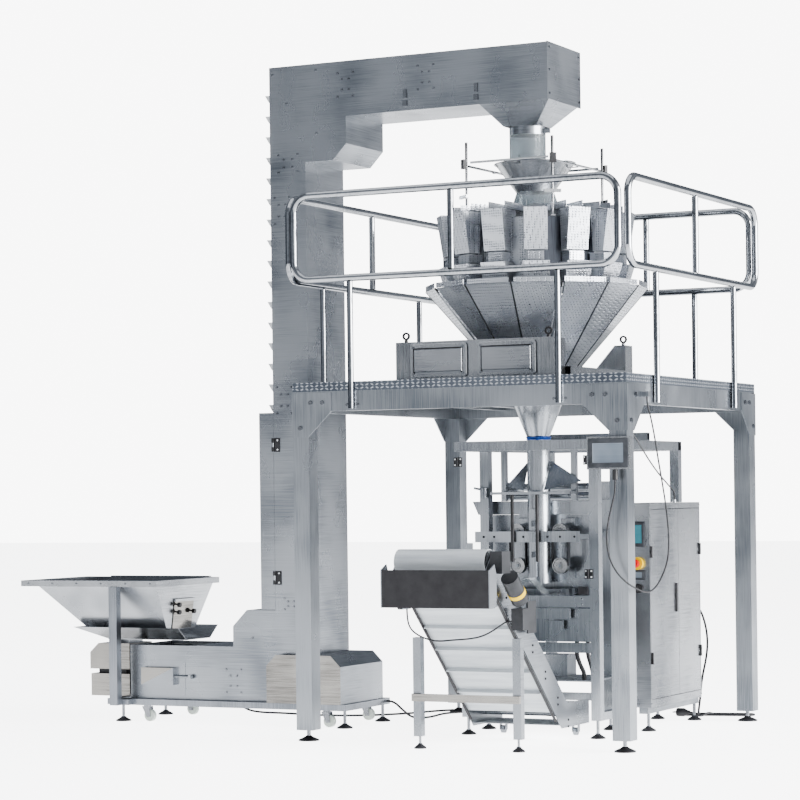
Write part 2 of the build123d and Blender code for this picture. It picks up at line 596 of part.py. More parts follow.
# Feeder: hopper with flanged rim, its outlet gate and the vibrating tray under it
RIM_X, RIM_Y, RIM_Z = (-2980, -2090), (-335, 335), (745, 778)
HOP_TOP = ((-2885, -2112), (-300, 300), 745)
HOP_LOW = ((-2650, -2142), (-150, 150), 500)
hopper = funnel_walls(HOP_TOP, HOP_LOW)
hopper.append(block(RIM_X, (RIM_Y[0], -297), RIM_Z))
hopper.append(block(RIM_X, (297, RIM_Y[1]), RIM_Z))
hopper.append(block((RIM_X[0], -2882), (-297, 297), RIM_Z))
hopper.append(block((-2115, RIM_X[1]), (-297, 297), RIM_Z))
hopper.append(block((-2800, -2140), (RIM_Y[1] - 30, RIM_Y[1] - 4), (RIM_Z[1], RIM_Z[1] + 6)))
save("feed_hopper", *hopper)

# The gate slides up the hopper's right wall, whose slope it follows
lean = Vector(HOP_TOP[0][1] - HOP_LOW[0][1], 0, HOP_TOP[2] - HOP_LOW[2]).normalized()
GATE = Plane(origin=(HOP_LOW[0][1] + 1.5, 0, HOP_LOW[2]), x_dir=(0, 1, 0), z_dir=Vector(0, 1, 0).cross(lean))
with BuildPart() as gate_leaf:
    with BuildSketch(GATE):
        with Locations((0, 88)):
            Rectangle(200, 168)
    extrude(amount=3)
with BuildPart() as gate_rail:
    with BuildSketch(GATE.offset(3)):
        with Locations((0, 165)):
            Rectangle(210, 14)
    extrude(amount=10)
gate_pieces = [gate_leaf.part, gate_rail.part]
for across, up in ((-78, 100), (78, 100), (-84, 142)):
    with BuildPart() as knob:
        with BuildSketch(GATE.offset(3)):
            with Locations((across, up)):
                Circle(5)
        extrude(amount=14)
        with BuildSketch(GATE.offset(17)):
            with Locations((across, up)):
                RegularPolygon(14, 6)
        extrude(amount=16)
    gate_pieces.append(knob.part)
save("hopper_gate", *gate_pieces)

tray_in, tray_out = (-2540, -2030), (-2715, -2030)
tray = [block(tray_in, (-130, 130), (445, 448))]
low = [Vector(tray_in[0], -130, 448), Vector(tray_in[1], -130, 448), Vector(tray_in[1], 130, 448),
       Vector(tray_in[0], 130, 448)]
high = [Vector(tray_out[0], -215, 515), Vector(tray_in[1], -215, 515), Vector(tray_in[1], 215, 515),
        Vector(tray_out[0], 215, 515)]
inward = [Vector(6, 5, 0), Vector(0, 5, 0), Vector(0, -5, 0), Vector(6, -5, 0)]
for i, j in ((0, 1), (2, 3), (3, 0)):
    tray.append(brick([low[i], low[j], low[j] + inward[j], low[i] + inward[i]],
                      [high[i], high[j], high[j] + inward[j], high[i] + inward[i]]))
for x in (-2500, -2440):
    tray.append(block((x - 2, x + 2), (-70, 70), (422, 445)))
save("vibrating_tray", *tray)

# Casters under the elevator base: fork that swivels, wheel that spins in it
WHEEL_R, WHEEL_W = 33, 26
WHEEL_Z = WHEEL_R + 3
AXLE_R = 5
CASTER_AT = [(-2225, -225), (-2225, 225), (-1105, -225), (-1105, 225)]
TRAIL = 18
for number, (x, y) in enumerate(CASTER_AT, start=1):
    fork = [rod((x, y, BASE_LOW - 6.5), (x, y, BASE_LOW - 0.5), 20),
            block((x - 22, x + 22), (y - 21, y + 21), (BASE_LOW - 10.5, BASE_LOW - 6.5))]
    for sy in BOTH_SIDES:
        cheek = [(x - 22, BASE_LOW - 10.5), (x + 22, BASE_LOW - 10.5), (x + TRAIL + 12, WHEEL_Z - 8),
                 (x + TRAIL - 12, WHEEL_Z - 8)]
        fork.append(side_plate(cheek, y + (18 if sy > 0 else -21)))
    fork.append(rod((x + TRAIL, y - 23, WHEEL_Z), (x + TRAIL, y + 23, WHEEL_Z), AXLE_R))
    save(f"caster_fork_{number}", *fork)
    wheel = turned((x + TRAIL, y, WHEEL_Z), [(AXLE_R + RUNNING, -15), (12, -15), (12, -WHEEL_W / 2),
                                             (WHEEL_R - 3, -WHEEL_W / 2), (WHEEL_R, -WHEEL_W / 2 + 3),
                                             (WHEEL_R, WHEEL_W / 2 - 3), (WHEEL_R - 3, WHEEL_W / 2),
                                             (12, WHEEL_W / 2), (12, 15), (AXLE_R + RUNNING, 15)], (0, 1, 0))
    save(f"caster_wheel_{number}", wheel)

# Weigher base: front electrical housing, side members, corner boxes and gussets
wbase = [hollow_block(W_X, (W_FRONT, W_BACK_OF_BOX), (DECK + 5, W_TOP), open_along="x")]
for x in ((W_X[0], W_X[0] + SHEET), (W_X[1] - SHEET, W_X[1])):
    wbase.append(block((x[0], x[1]), (W_FRONT + SHEET, W_BACK_OF_BOX - SHEET), (DECK + 8, W_TOP - SHEET)))
SIDE_X = ((W_X[0], W_X[0] + 60), (350, 410))
for x in SIDE_X:
    wbase.append(hollow_block(x, (W_BACK_OF_BOX, 400), (DECK + 5, DECK + 65), open_along="y"))
    wbase.append(hollow_block(x, (300, 400), (DECK + 65, W_TOP - 5)))
wbase.append(hollow_block((SIDE_X[0][1], SIDE_X[1][0]), (340, 400), (DECK + 5, DECK + 65), open_along="x"))
for edge, tip in ((SIDE_X[0][1], SIDE_X[0][1] + 120), (SIDE_X[1][0], SIDE_X[1][0] - 120)):
    wbase.append(side_plate([(edge, DECK + 65), (tip, DECK + 65), (edge, W_TOP - 5)], 300, 4))
for x in (W_X[0] + 30, W_X[1] - 30):
    for y in (W_FRONT + 40, 360):
        wbase.append(block((x - 30, x + 30), (y - 30, y + 30), (DECK, DECK + 5)))
for x, y in ((W_X[0] + 40, W_FRONT + 40), (W_X[1] - 40, W_FRONT + 40), (W_X[0] + 30, 350), (380, 350)):
    z = W_TOP if y < 0 else W_TOP - 5
    wbase.append(rod((x, y, z), (x, y, z + 13), 9))
    wbase.append(rod((x, y - 5, z + 33), (x, y + 5, z + 33), 20, 11))
save("weigher_base", *wbase)

# Weigher body with its four slim legs between the chutes, and the feeder pans on top
HALF_STEP = radians(HEAD_STEP / 2)
body_pieces = []
DRUM_R = 378
for low, high, radius, bore in ((2300, 2630, DRUM_R, DRUM_R - 5), (2300, 2304, DRUM_R - 5, 0),
                                (2626, 2630, DRUM_R - 5, 0)):
    with BuildPart() as drum:
        with BuildSketch(Plane(origin=(WEIGHER_X, 0, low))):
            RegularPolygon(radius, HEADS, rotation=FIRST_HEAD)
            if bore:
                RegularPolygon(bore, HEADS, rotation=FIRST_HEAD, mode=Mode.SUBTRACT)
        extrude(amount=high - low)
    body_pieces.append(drum.part)
body_pieces.append(turned((WEIGHER_X, 0, 0), [(0, 2676), (228, 2676), (0, 2742)]))
body_pieces.append(turned((WEIGHER_X, 0, 0), [(0, 2632), (60, 2632), (60, 2675), (0, 2675)]))
LEG_SEAMS = [FIRST_HEAD + HEAD_STEP * (0.5 + k) for k in (0, 4, 7, 11)]
body_pieces += around([rod((190, 0, 1835), (552, 0, 2262), 9), block((372, 560), (-9, 9), (2263, 2281)),
                       block((180, 410), (-9, 9), (1812, 1824))], LEG_SEAMS)
with BuildPart() as pan:
    with BuildSketch(Plane.YZ.offset(236)):
        with BuildLine():
            Polyline((-46, 2706), (-46, 2672), (46, 2672), (46, 2706), (44, 2706), (44, 2674), (-44, 2674),
                     (-44, 2706), close=True)
        make_face()
    extrude(amount=215)
with BuildPart() as pan_drive:
    with BuildSketch(Plane.XY.offset(2631)):
        with Locations((330, 0)):
            Rectangle(90, 50)
    extrude(amount=40)
HEAD_ANGLES = [FIRST_HEAD + HEAD_STEP * k for k in range(HEADS)]
body_pieces += around([pan.part, pan_drive.part], HEAD_ANGLES)
save("weigher_body", *body_pieces)


FEED_HALF, WEIGH_HALF = 59, 68
feed_bucket = funnel_walls(((402, 512), (-FEED_HALF, FEED_HALF), 2664), ((414, 480), (-FEED_HALF, FEED_HALF), 2454), 2)
weigh_bucket = funnel_walls(((392, 506), (-WEIGH_HALF, WEIGH_HALF), 2396),
                            ((410, 474), (-WEIGH_HALF, WEIGH_HALF), 2298), 2)
bracket_box = block((380, 470), (-40, 40), (2402, 2448))
save("weigher_buckets", *around([*feed_bucket, *weigh_bucket, bracket_box], HEAD_ANGLES))

# Collecting chute: one flat panel under each head, with a folded lip at its top
CHUTE_TOP, CHUTE_LOW = (560, 2285), (176, 1832)


def chute_panel(left_gap, right_gap):
    slope_dir = Vector(CHUTE_TOP[0] - CHUTE_LOW[0], 0, CHUTE_TOP[1] - CHUTE_LOW[1])
    length = slope_dir.length
    plane = Plane(origin=(CHUTE_LOW[0], 0, CHUTE_LOW[1]), x_dir=(0, 1, 0), z_dir=Vector(0, 1, 0).cross(slope_dir))
    low_half, high_half = CHUTE_LOW[0] * tan(HALF_STEP), CHUTE_TOP[0] * tan(HALF_STEP)
    outline = [(left_gap - low_half, 0), (low_half - right_gap, 0), (high_half - right_gap, length),
               (left_gap - high_half, length)]
    return plate(outline, plane, 3)


lip = block((CHUTE_TOP[0], CHUTE_TOP[0] + 3), (-115, 115), (CHUTE_TOP[1] + 1, CHUTE_TOP[1] + 26))
SEAM, LEG_GAP = 2, 16
chutes = []
for k, angle in enumerate(HEAD_ANGLES):
    after = k in (0, 4, 7, 11)
    before = (k - 1) % HEADS in (0, 4, 7, 11)
    chutes += around([chute_panel(LEG_GAP if before else SEAM, LEG_GAP if after else SEAM)], [angle])
    chutes += around([lip], [angle])
save("chute_panels", *chutes)

# Infeed funnel and the rod frame that holds it over the feeder cone
FUNNEL_Z = (2790, 2940)
infeed = [turned((WEIGHER_X, 0, 0), [(205, FUNNEL_Z[1]), (212, FUNNEL_Z[1]), (212, FUNNEL_Z[1] - 4), (205, 2936),
                                     (98, FUNNEL_Z[0]), (95, FUNNEL_Z[0]), (201, 2937)])]
ROD_CIRCLE, FRAME_ROD_R = 390, 7
FRAME_Z = 2915
DRUM_TOP = 2630
FUNNEL_SIDE = 188      # funnel radius where the hangers meet it
rod_places = [Vector(ROD_CIRCLE * cos(radians(a)), ROD_CIRCLE * sin(radians(a)), 0) for a in LEG_SEAMS]
for k, place in enumerate(rod_places):
    x, y = place.X + WEIGHER_X, place.Y
    infeed.append(rod((x, y, DRUM_TOP + 6), (x, y, 3035), FRAME_ROD_R))
    following = rod_places[(k + 1) % 4]
    run = (following - place).normalized()
    level = FRAME_Z + (16 if k % 2 else 0)
    infeed.append(rod((x + 24 * run.X, y + 24 * run.Y, level),
                      (following.X + WEIGHER_X - 24 * run.X, following.Y - 24 * run.Y, level), FRAME_ROD_R - 1))
    middle = (place + following) * 0.5
    hanger = block((FUNNEL_SIDE, middle.length), (-10, 10), (level - 10, level - 6))
    infeed += around([hanger], [Vector(1, 0, 0).get_signed_angle(middle, Vector(0, 0, 1))])
rod_foot = block((350, ROD_CIRCLE + 14), (-14, 14), (DRUM_TOP, DRUM_TOP + 6))
clamp_box = block((ROD_CIRCLE + 8, ROD_CIRCLE + 24), (-16, 16), (FRAME_Z - 16, FRAME_Z + 32))
sensor = block((ROD_CIRCLE + 8, ROD_CIRCLE + 22), (-48, 40), (2748, 2764))
infeed += around([rod_foot, clamp_box, sensor], LEG_SEAMS)
save("infeed_funnel", *infeed)

# Bagger frame: square posts, rails, roll shaft, guide bars and jaw guide rods
frame = []
frame.append(hollow_block((455, 505), (-330, -280), (90, 1450)))
frame.append(hollow_block((-260, -210), (-330, -280), (90, 715)))
frame.append(hollow_block((-287, -237), (-25, 25), (90, 1450)))
frame.append(hollow_block((-287, -237), (810, 860), (90, 1500)))
frame.append(hollow_block((-287, 505), (-330, -280), (1450, 1500), open_along="x"))
frame.append(hollow_block((-287, -237), (-280, 810), (1450, 1500), open_along="y"))
frame.append(hollow_block((455, 505), (-280, 810), (1450, 1500), open_along="y"))
frame.append(hollow_block((-237, 505), (810, 860), (1450, 1500), open_along="x"))
frame.append(hollow_block((455, 505), (810, 860), (1174, 1450)))
frame.append(hollow_block((-237, 455), (480, 520), (1505, 1545), open_along="x"))
for x in ((-237, -197), (415, 455)):
    frame.append(block(x, (480, 520), (1500, 1505)))
SLIM_X = (-155, 240)
for x in SLIM_X:
    frame.append(hollow_block((x - 14, x + 14), (-14, 14), (1192, 1450), wall=2))
frame.append(hollow_block((-237, -20.4), (-17, 17), (1450, 1479), wall=2, open_along="x"))
frame.append(hollow_block((100.4, 455), (-17, 17), (1450, 1479), wall=2, open_along="x"))
frame.append(hollow_block((-210, 455), (-325, -280), (657, 715), open_along="x"))
frame.append(hollow_block((-210, 455), (-315, -280), (428, 478), open_along="x"))
for x in ((-260, -210), (455, 505)):
    frame.append(block(x, (-280, -25 if x[0] < 0 else 125), (90, 130)))
frame.append(block((-287, -237), (25, 810), (90, 130)))
frame.append(block((-237, 329), (820, 860), (90, 130)))
frame.append(block((-250, 440), (-280, 110), (280, 288)))
ROLL_SHAFT = (500, 1085)
ROLL_SHAFT_R = 38
frame.append(rod((-237, *ROLL_SHAFT), (325, *ROLL_SHAFT), ROLL_SHAFT_R))
frame.append(hollow_block((-287, -237), (475, 525), (130, 1140)))
for y, z in ((330, 1215), (240, 1262), (150, 1215)):
    frame.append(rod((-205, y, z), (325, y, z), 21))
for x in ((-215, -205), (325, 335)):
    frame.append(block(x, (110, 360), (1192, 1290)))
GUIDE_Y = -143
for x in (-49, 90):
    frame.append(rod((x, GUIDE_Y, 880), (x, GUIDE_Y, 1226), 9))
frame.append(block((SLIM_X[0] - 14, SLIM_X[1] + 14), (GUIDE_Y - 10, GUIDE_Y + 10), (1226, 1240)))
for x in SLIM_X:
    frame.append(block((x - 14, x + 14), (GUIDE_Y + 10, -14), (1226, 1240)))
frame.append(block((-270, 318), (-128, -122), (980, 1036)))
for x in ((-270, -240), (288, 318)):
    frame.append(block(x, (-122, 98), (996, 1020)))
JAW_ROD_R = 12
JAW_RODS = (-105, 185)
JAW_Z = 712
for x in JAW_RODS:
    frame.append(rod((x, -280, JAW_Z), (x, 98, JAW_Z), JAW_ROD_R))
save("bagger_frame", *frame)

# Bagger panels: machine wall behind the tube, shelf, lower front panel, jaw box, gearbox
WALL_Y = (98, 104)
panels = [side_plate([(-287, 560), (325, 560), (325, 1120), (-287, 1120)], WALL_Y[0], 6)]
panels.append(hollow_block((-300, 454), (62, 110), (1121, 1191), open_along="x"))
panels.append(side_plate([(-290, 1121), (-290, 1191), (-350, 1191), (-318, 1121)], 20, 3))
panels.append(block((-209, 454), (-300, -296), (482, 650)))
panels.append(block((141, 349), (-345, -326), (600, 652)))
panels.append(block((235, 310), (-345, -326), (545, 590)))
panels.append(block((60, 212), (-60, 60), (289, 400)))
panels.append(block((-150, 40), (-120, 60), (289, 350)))
panels.append(side_plate([(-262, 720), (-212, 720), (-212, 980), (-245, 980), (-262, 900)], -280, 3))
panels.append(block((334, 454), (60, 64), (288, 1120)))
for x in (-85, 175):
    panels.append(block((x - 40, x + 40), (60, 97), (1060, 1100)))
panels.append(block((-120, 200), (92, 97), (790, 842)))
for x in (-262, -245):
    panels.append(rod((x, -50, 1208), (x, -50, 1262), 9))
panels.append(rod((-262, -50, 1253), (-300, -70, 1262), 6))

# Forming tube with its product funnel, and the collar that folds the film round it
tube = [rod((WEIGHER_X, 0, 766), (WEIGHER_X, 0, 1500), TUBE_R, TUBE_R - 2)]
tube.append(turned((WEIGHER_X, 0, 0), [(174, 1830), (176, 1830), (110, 1650), (51, 1502), (51, 1480), (49, 1480),
                                       (49, 1502), (108, 1650)]))
tube.append(block((WEIGHER_X - 8, WEIGHER_X + 8), (TUBE_R - 0.5, 62), (1130, 1145)))

COLLAR_GAP = 3
COLLAR_TIPS = ((-134, -24, 1268), (300, -44, 1292))


def wing(crest, tip, front):
    """Flat shoulder of the collar: a thin triangular plate facing forward."""
    points = [Vector(*crest), Vector(*tip), Vector(*front)]
    normal = (points[1] - points[0]).cross(points[2] - points[0])
    plane = Plane(origin=crest, x_dir=points[1] - points[0], z_dir=normal if normal.Y < 0 else normal * -1)
    outline = [plane.to_local_coords(point) for point in points]
    return plate([(point.X, point.Y) for point in outline], plane, 2)


collar = []
for sx, tip in zip((-1, 1), COLLAR_TIPS):
    edge = WEIGHER_X + sx * (TUBE_R + COLLAR_GAP)
    collar.append(wing((edge, 20, 1400), tip, (edge - sx * 6, -66, 1246)))
    shelf = sorted((edge + sx, edge + sx * 46))
    collar.append(block(shelf, (-20, WALL_Y[0] - 1), (1232, 1236)))
save("forming_set", *tube, *collar)

# Film pull belts: four pulleys on stub shafts, with the belts round each pair
PULLEY_R, PULLEY_OFF = 42, 120
PULLEY_Z = (1032, 856)
STUB_R = 10
PULLEY_Y = (-20, 16)
for side, sx in (("left", -1), ("right", 1)):
    for level, z in zip(("upper", "lower"), PULLEY_Z):
        x = WEIGHER_X + sx * PULLEY_OFF
        pulley = turned((x, 0, z), [(STUB_R + RUNNING, PULLEY_Y[0]), (16, PULLEY_Y[0]), (18, PULLEY_Y[0] + 5),
                                    (34, PULLEY_Y[0] + 5), (36, PULLEY_Y[0]), (PULLEY_R, PULLEY_Y[0]),
                                    (PULLEY_R, PULLEY_Y[1]), (STUB_R + RUNNING, PULLEY_Y[1])], (0, 1, 0))
        save(f"pulley_{level}_{side}", pulley)
belts = []
for sx in BOTH_SIDES:
    x = WEIGHER_X + sx * PULLEY_OFF
    for z in PULLEY_Z:
        belts.append(rod((x, PULLEY_Y[0] - 6, z), (x, 97, z), STUB_R))
    for side in BOTH_SIDES:
        edge = x + side * (PULLEY_R + 0.6)
        belts.append(block(sorted((edge, edge + side * 4)), (-16, 12), (PULLEY_Z[1], PULLEY_Z[0])))
save("bagger_panels", *panels, *belts)

# Film roll on its shaft
save("film_roll", rod((-150, *ROLL_SHAFT), (300, *ROLL_SHAFT), 160, ROLL_SHAFT_R + RUNNING))

# Vertical seal bar and its cylinder, moving in and out on the front of the tube
save("vertical_seal_bar", block((22, 58), (-92, -74), (800, 1150)), block((34, 46), (-119, -92), (900, 930)),
     block((34, 46), (-119, -92), (1060, 1090)))


# Cross seal jaws on two guide rods, closing on the bag below the tube
def jaw(y):
    with BuildPart() as piece:
        with BuildSketch(Plane.XZ.offset(-y[1])):
            with Locations((WEIGHER_X, JAW_Z)):
                Rectangle(340, 50)
            for x in JAW_RODS:
                with Locations((x, JAW_Z)):
                    Circle(JAW_ROD_R + RUNNING, mode=Mode.SUBTRACT)
        extrude(amount=y[1] - y[0])
    return piece.part


save("front_jaw", jaw((-60, -18)))
save("rear_jaw", jaw((18, 60)))

# Control cabinet: shell, doors, operator panel, emergency stop and selector
cab = [block(CAB_X, (CAB_Y[0], CAB_Y[0] + 4), CAB_Z), block(CAB_X, (CAB_Y[1] - 4, CAB_Y[1]), CAB_Z)]
CAB_IN = (CAB_Y[0] + 4, CAB_Y[1] - 4)
cab.append(block((CAB_X[0], CAB_X[0] + 4), CAB_IN, CAB_Z))
cab.append(block((CAB_X[0] + 4, CAB_X[1]), CAB_IN, (CAB_Z[0], CAB_Z[0] + 4)))
cab.append(block((CAB_X[0] + 4, CAB_X[1]), CAB_IN, (CAB_Z[1] - 4, CAB_Z[1])))
cab.append(block((CAB_X[1], CAB_DOOR_X[1]), CAB_Y, (CAB_Z[1] - 30, CAB_Z[1])))
cab.append(block((CAB_X[1], CAB_DOOR_X[1]), CAB_Y, (CAB_Z[0], CAB_Z[0] + 40)))
cab.append(block((CAB_X[1], CAB_DOOR_X[1]), (CAB_Y[0], CAB_Y[0] + 8), (CAB_Z[0] + 40, CAB_Z[1] - 30)))
cab.append(block((CAB_X[1], CAB_DOOR_X[1]), (CAB_Y[1] - 8, CAB_Y[1]), (CAB_Z[0] + 40, CAB_Z[1] - 30)))
cab.append(block((CAB_X[0] + 4, CAB_X[0] + 7), (200, 800), (200, 1100)))
for y, z in ((260, 860), (560, 860), (260, 480), (560, 480)):
    cab.append(block((CAB_X[0] + 7, CAB_X[0] + 110), (y, y + 180), (z, z + 190)))
for x in ((CAB_X[0], CAB_X[0] + 50), (CAB_X[1] - 50, CAB_X[1])):
    cab.append(block(x, CAB_Y, (90, CAB_Z[0])))
cab.append(rod((565, CAB_Y[1], 600), (565, CAB_Y[1] + 20, 600), 11))
cab.append(rod((556, 610, CAB_Z[1]), (556, 610, CAB_Z[1] + 16), 9))
save("control_cabinet", *cab)

DOOR_SPLIT = 540
CAB_DOOR_Z = (CAB_Z[0] + 43, CAB_Z[1] - 33)
for name, y, hinge_y, inner_y in (("cabinet_door_front", (136, DOOR_SPLIT - 1.5), CAB_HINGE_Y[0], DOOR_SPLIT - 40),
                                  ("cabinet_door_rear", (DOOR_SPLIT + 1.5, 859), CAB_HINGE_Y[1], DOOR_SPLIT + 40)):
    fold = (CAB_DOOR_X[0], CAB_DOOR_X[1] - SHEET)
    leaf = [block((fold[1], CAB_DOOR_X[1]), y, CAB_DOOR_Z)]
    for edge in ((y[0], y[0] + SHEET), (y[1] - SHEET, y[1])):
        leaf.append(block(fold, edge, CAB_DOOR_Z))
    for edge in ((CAB_DOOR_Z[0], CAB_DOOR_Z[0] + SHEET), (CAB_DOOR_Z[1] - SHEET, CAB_DOOR_Z[1])):
        leaf.append(block(fold, (y[0] + SHEET, y[1] - SHEET), edge))
    for z in CAB_HINGE_Z:
        leaf.append(rod((CAB_AXIS_X, hinge_y, z - 9.7), (CAB_AXIS_X, hinge_y, z + 9.7), CAB_KNUCKLE, 2 + RUNNING))
        leaf_y = (hinge_y + 0.5, hinge_y + 26) if hinge_y < 500 else (hinge_y - 26, hinge_y - 0.5)
        leaf.append(block((CAB_DOOR_X[1], CAB_DOOR_X[1] + 2), leaf_y, (z - 9.7, z + 9.7)))
    if name.endswith("front"):
        leaf.append(block((CAB_DOOR_X[1], CAB_DOOR_X[1] + 8), (inner_y - 9, inner_y + 9), (600, 750)))
    save(name, *leaf)

PANEL_Y = CAB_Y[0]
op = [block((440, 575), (PANEL_Y - 8, PANEL_Y), (950, 1080)), block((462, 575), (PANEL_Y - 7, PANEL_Y), (780, 830))]
STOP = (535, 864)
SELECTOR = (538, 735)
op.append(rod((STOP[0], PANEL_Y - 22, STOP[1]), (STOP[0], PANEL_Y, STOP[1]), 33, 13))
op.append(rod((SELECTOR[0], PANEL_Y - 10, SELECTOR[1]), (SELECTOR[0], PANEL_Y, SELECTOR[1]), 24, 5 + RUNNING))
# Operator's touch panel on a bracket on the front right leg, with its cable gland
TOUCH_X, TOUCH_Z, TOUCH_Y = (722, 940), (1342, 1497), (-990, -952)
op.append(block(TOUCH_X, TOUCH_Y, TOUCH_Z))
op.append(block((800, 870), (-952, -HALF_Y), (1380, 1460)))
GLAND_TOP = (858, -971, TOUCH_Z[0])
op.append(rod(GLAND_TOP, (GLAND_TOP[0], GLAND_TOP[1], TOUCH_Z[0] - 50), 13))
save("operator_panel", *op)
save("emergency_stop", turned((STOP[0], PANEL_Y - 22, STOP[1]),
                              [(0, 14), (9, 14), (9, -8), (21, -8), (21, -16), (14, -20), (0, -21)], (0, 1, 0)))
with BuildPart() as selector:
    with BuildSketch(Plane.XZ.offset(10 - PANEL_Y + 0.5)):
        with Locations(SELECTOR):
            Circle(17)
    extrude(amount=8)
    with BuildSketch(Plane.XZ.offset(18.5 - PANEL_Y)):
        with Locations(SELECTOR):
            RectangleRounded(9, 30, 3)
    extrude(amount=14)
    with BuildSketch(Plane.XZ.offset(1 - PANEL_Y)):
        with Locations(SELECTOR):
            Circle(5)
    extrude(amount=9.5)
save("selector_switch", selector.part)

# Take-off conveyor: it climbs towards the front, from under the jaws to the head roller
climb = radians(CONVEYOR_SLOPE)
UP = Vector(0, -cos(climb), sin(climb))
OUT = Vector(0, sin(climb), cos(climb))
BEND_LOW, BEND_HIGH = (-480, 62), (-410, 185)
HEAD_CENTRE = Vector(0, HEAD_Y, HEAD_Z)
run_low = (HEAD_CENTRE - Vector(0, *BEND_LOW)).dot(UP)
foot_low = Vector(0, *BEND_LOW)
end_low = foot_low + UP * (run_low + 18)
end_high = end_low + OUT * 135
slope_outline = [BEND_LOW, BEND_HIGH, (end_high.Y, end_high.Z), (end_low.Y, end_low.Z)]
tail_outline = [(-130, 62), (-130, 185), BEND_HIGH, BEND_LOW]
SIDE_X_LEFT, SIDE_X_RIGHT = (BELT[0] - 8, BELT[0] - 4), (BELT[1] + 4, BELT[1] + 8)
conveyor = []
for x in (SIDE_X_LEFT, SIDE_X_RIGHT):
    with BuildPart() as cheek:
        with BuildSketch(Plane(origin=(x[0], 0, 0), x_dir=(0, 1, 0), z_dir=(1, 0, 0))):
            with BuildLine():
                Polyline(*slope_outline, close=True)
            make_face()
            with Locations((HEAD_Y, HEAD_Z)):
                Circle(SHAFT_R - 3 + RUNNING, mode=Mode.SUBTRACT)
        extrude(amount=x[1] - x[0])
    conveyor.append(cheek.part)
    conveyor.append(end_plate(tail_outline, x[0], x[1] - x[0]))
for (x, y), inner in zip(STAND_LEGS, (SIDE_X_LEFT[0], SIDE_X_RIGHT[1])):
    limits = (inner - 42, inner) if x < 0 else (inner, inner + 42)
    conveyor.append(hollow_block(limits, (y - 20, y + 20), (60, 540)))
LEG_FACES = (SIDE_X_LEFT[0], SIDE_X_RIGHT[1])
conveyor.append(block((LEG_FACES[0] - 42, LEG_FACES[1] + 42), (-1090, -1070), (232, 268)))
CASTER_X = (-85, 317)
for x in CASTER_X:
    conveyor.append(block((x - 16, x + 16), (-228, -178), (56, 60)))
    for side in BOTH_SIDES:
        conveyor.append(block(sorted((x + side * 14, x + side * 17)), (-216, -190), (20, 56)))
    conveyor.append(rod((x - 13.5, -203, 23), (x + 13.5, -203, 23), 4))
    conveyor.append(rod((x - 10, -203, 23), (x + 10, -203, 23), 20, 4))
for y, z in ((-180, 120), (-330, 120), (-700, 330), (-1000, 610)):
    conveyor.append(rod((SIDE_X_LEFT[1], y, z), (SIDE_X_RIGHT[0], y, z), 12))
conveyor.append(end_plate([(-1262, 685), (-1176, 685), (-1165, 692), (-1262, 782)], SIDE_X_LEFT[0], 4))
save("conveyor_frame", *conveyor)


# Conveyor belt: flat strands on the slope and the tail, wraps at both ends, and flights
def strand(start, end, x=BELT, thickness=3):
    """Belt strand between two points in Y and Z, thickened to its left going along it."""
    a, b = Vector(0, *start), Vector(0, *end)
    side = Vector(1, 0, 0).cross(b - a).normalized() * thickness
    rings = [[Vector(px, p.Y, p.Z) for p in (a, b, b + side, a + side)] for px in x]
    return brick(*rings)


WRAP_R = ROLLER_R + 0.5
BELT_T = 3
FLIGHT = 22            # height of a flight above the belt
FLIGHT_PITCH = 165
tangent_low = HEAD_CENTRE - OUT * WRAP_R
tangent_high = HEAD_CENTRE + OUT * WRAP_R
FLIGHT_X = (BELT[0] + 12, BELT[1] - 12)


def yz(vector):
    return (vector.Y, vector.Z)


belt = [strand(yz(tangent_low - UP * 1060), yz(tangent_low), thickness=BELT_T),
        strand(yz(tangent_high - UP * 1130), yz(tangent_high), thickness=-BELT_T)]
with BuildPart() as wrap:
    with BuildSketch(Plane(origin=(BELT[0], HEAD_Y, HEAD_Z), x_dir=OUT, z_dir=(1, 0, 0))):
        Circle(WRAP_R + BELT_T)
        Circle(WRAP_R, mode=Mode.SUBTRACT)
        with Locations((0, -100)):
            Rectangle(200, 200, mode=Mode.SUBTRACT)
    extrude(amount=BELT[1] - BELT[0])
belt.append(wrap.part)
belt.append(block(BELT, (-440, -140), (72, 75)))
belt.append(block(BELT, (-380, -140), (169, 172)))
for k in range(6):
    root = tangent_low - UP * (60 + FLIGHT_PITCH * k) - OUT * BELT_T
    belt.append(strand(yz(root), yz(root - OUT * FLIGHT), FLIGHT_X, 4))
for k in range(6):
    root = tangent_high - UP * (30 + FLIGHT_PITCH * k) + OUT * BELT_T
    belt.append(strand(yz(root), yz(root + OUT * FLIGHT), FLIGHT_X, 4))
save("conveyor_belt", *belt)

save("conveyor_roller", rod((BELT[0], HEAD_Y, HEAD_Z), (BELT[1], HEAD_Y, HEAD_Z), ROLLER_R),
     rod((SIDE_X_LEFT[0] - 4, HEAD_Y, HEAD_Z), (BELT[0], HEAD_Y, HEAD_Z), SHAFT_R - 3),
     rod((BELT[1], HEAD_Y, HEAD_Z), (SIDE_X_RIGHT[1], HEAD_Y, HEAD_Z), SHAFT_R - 3))

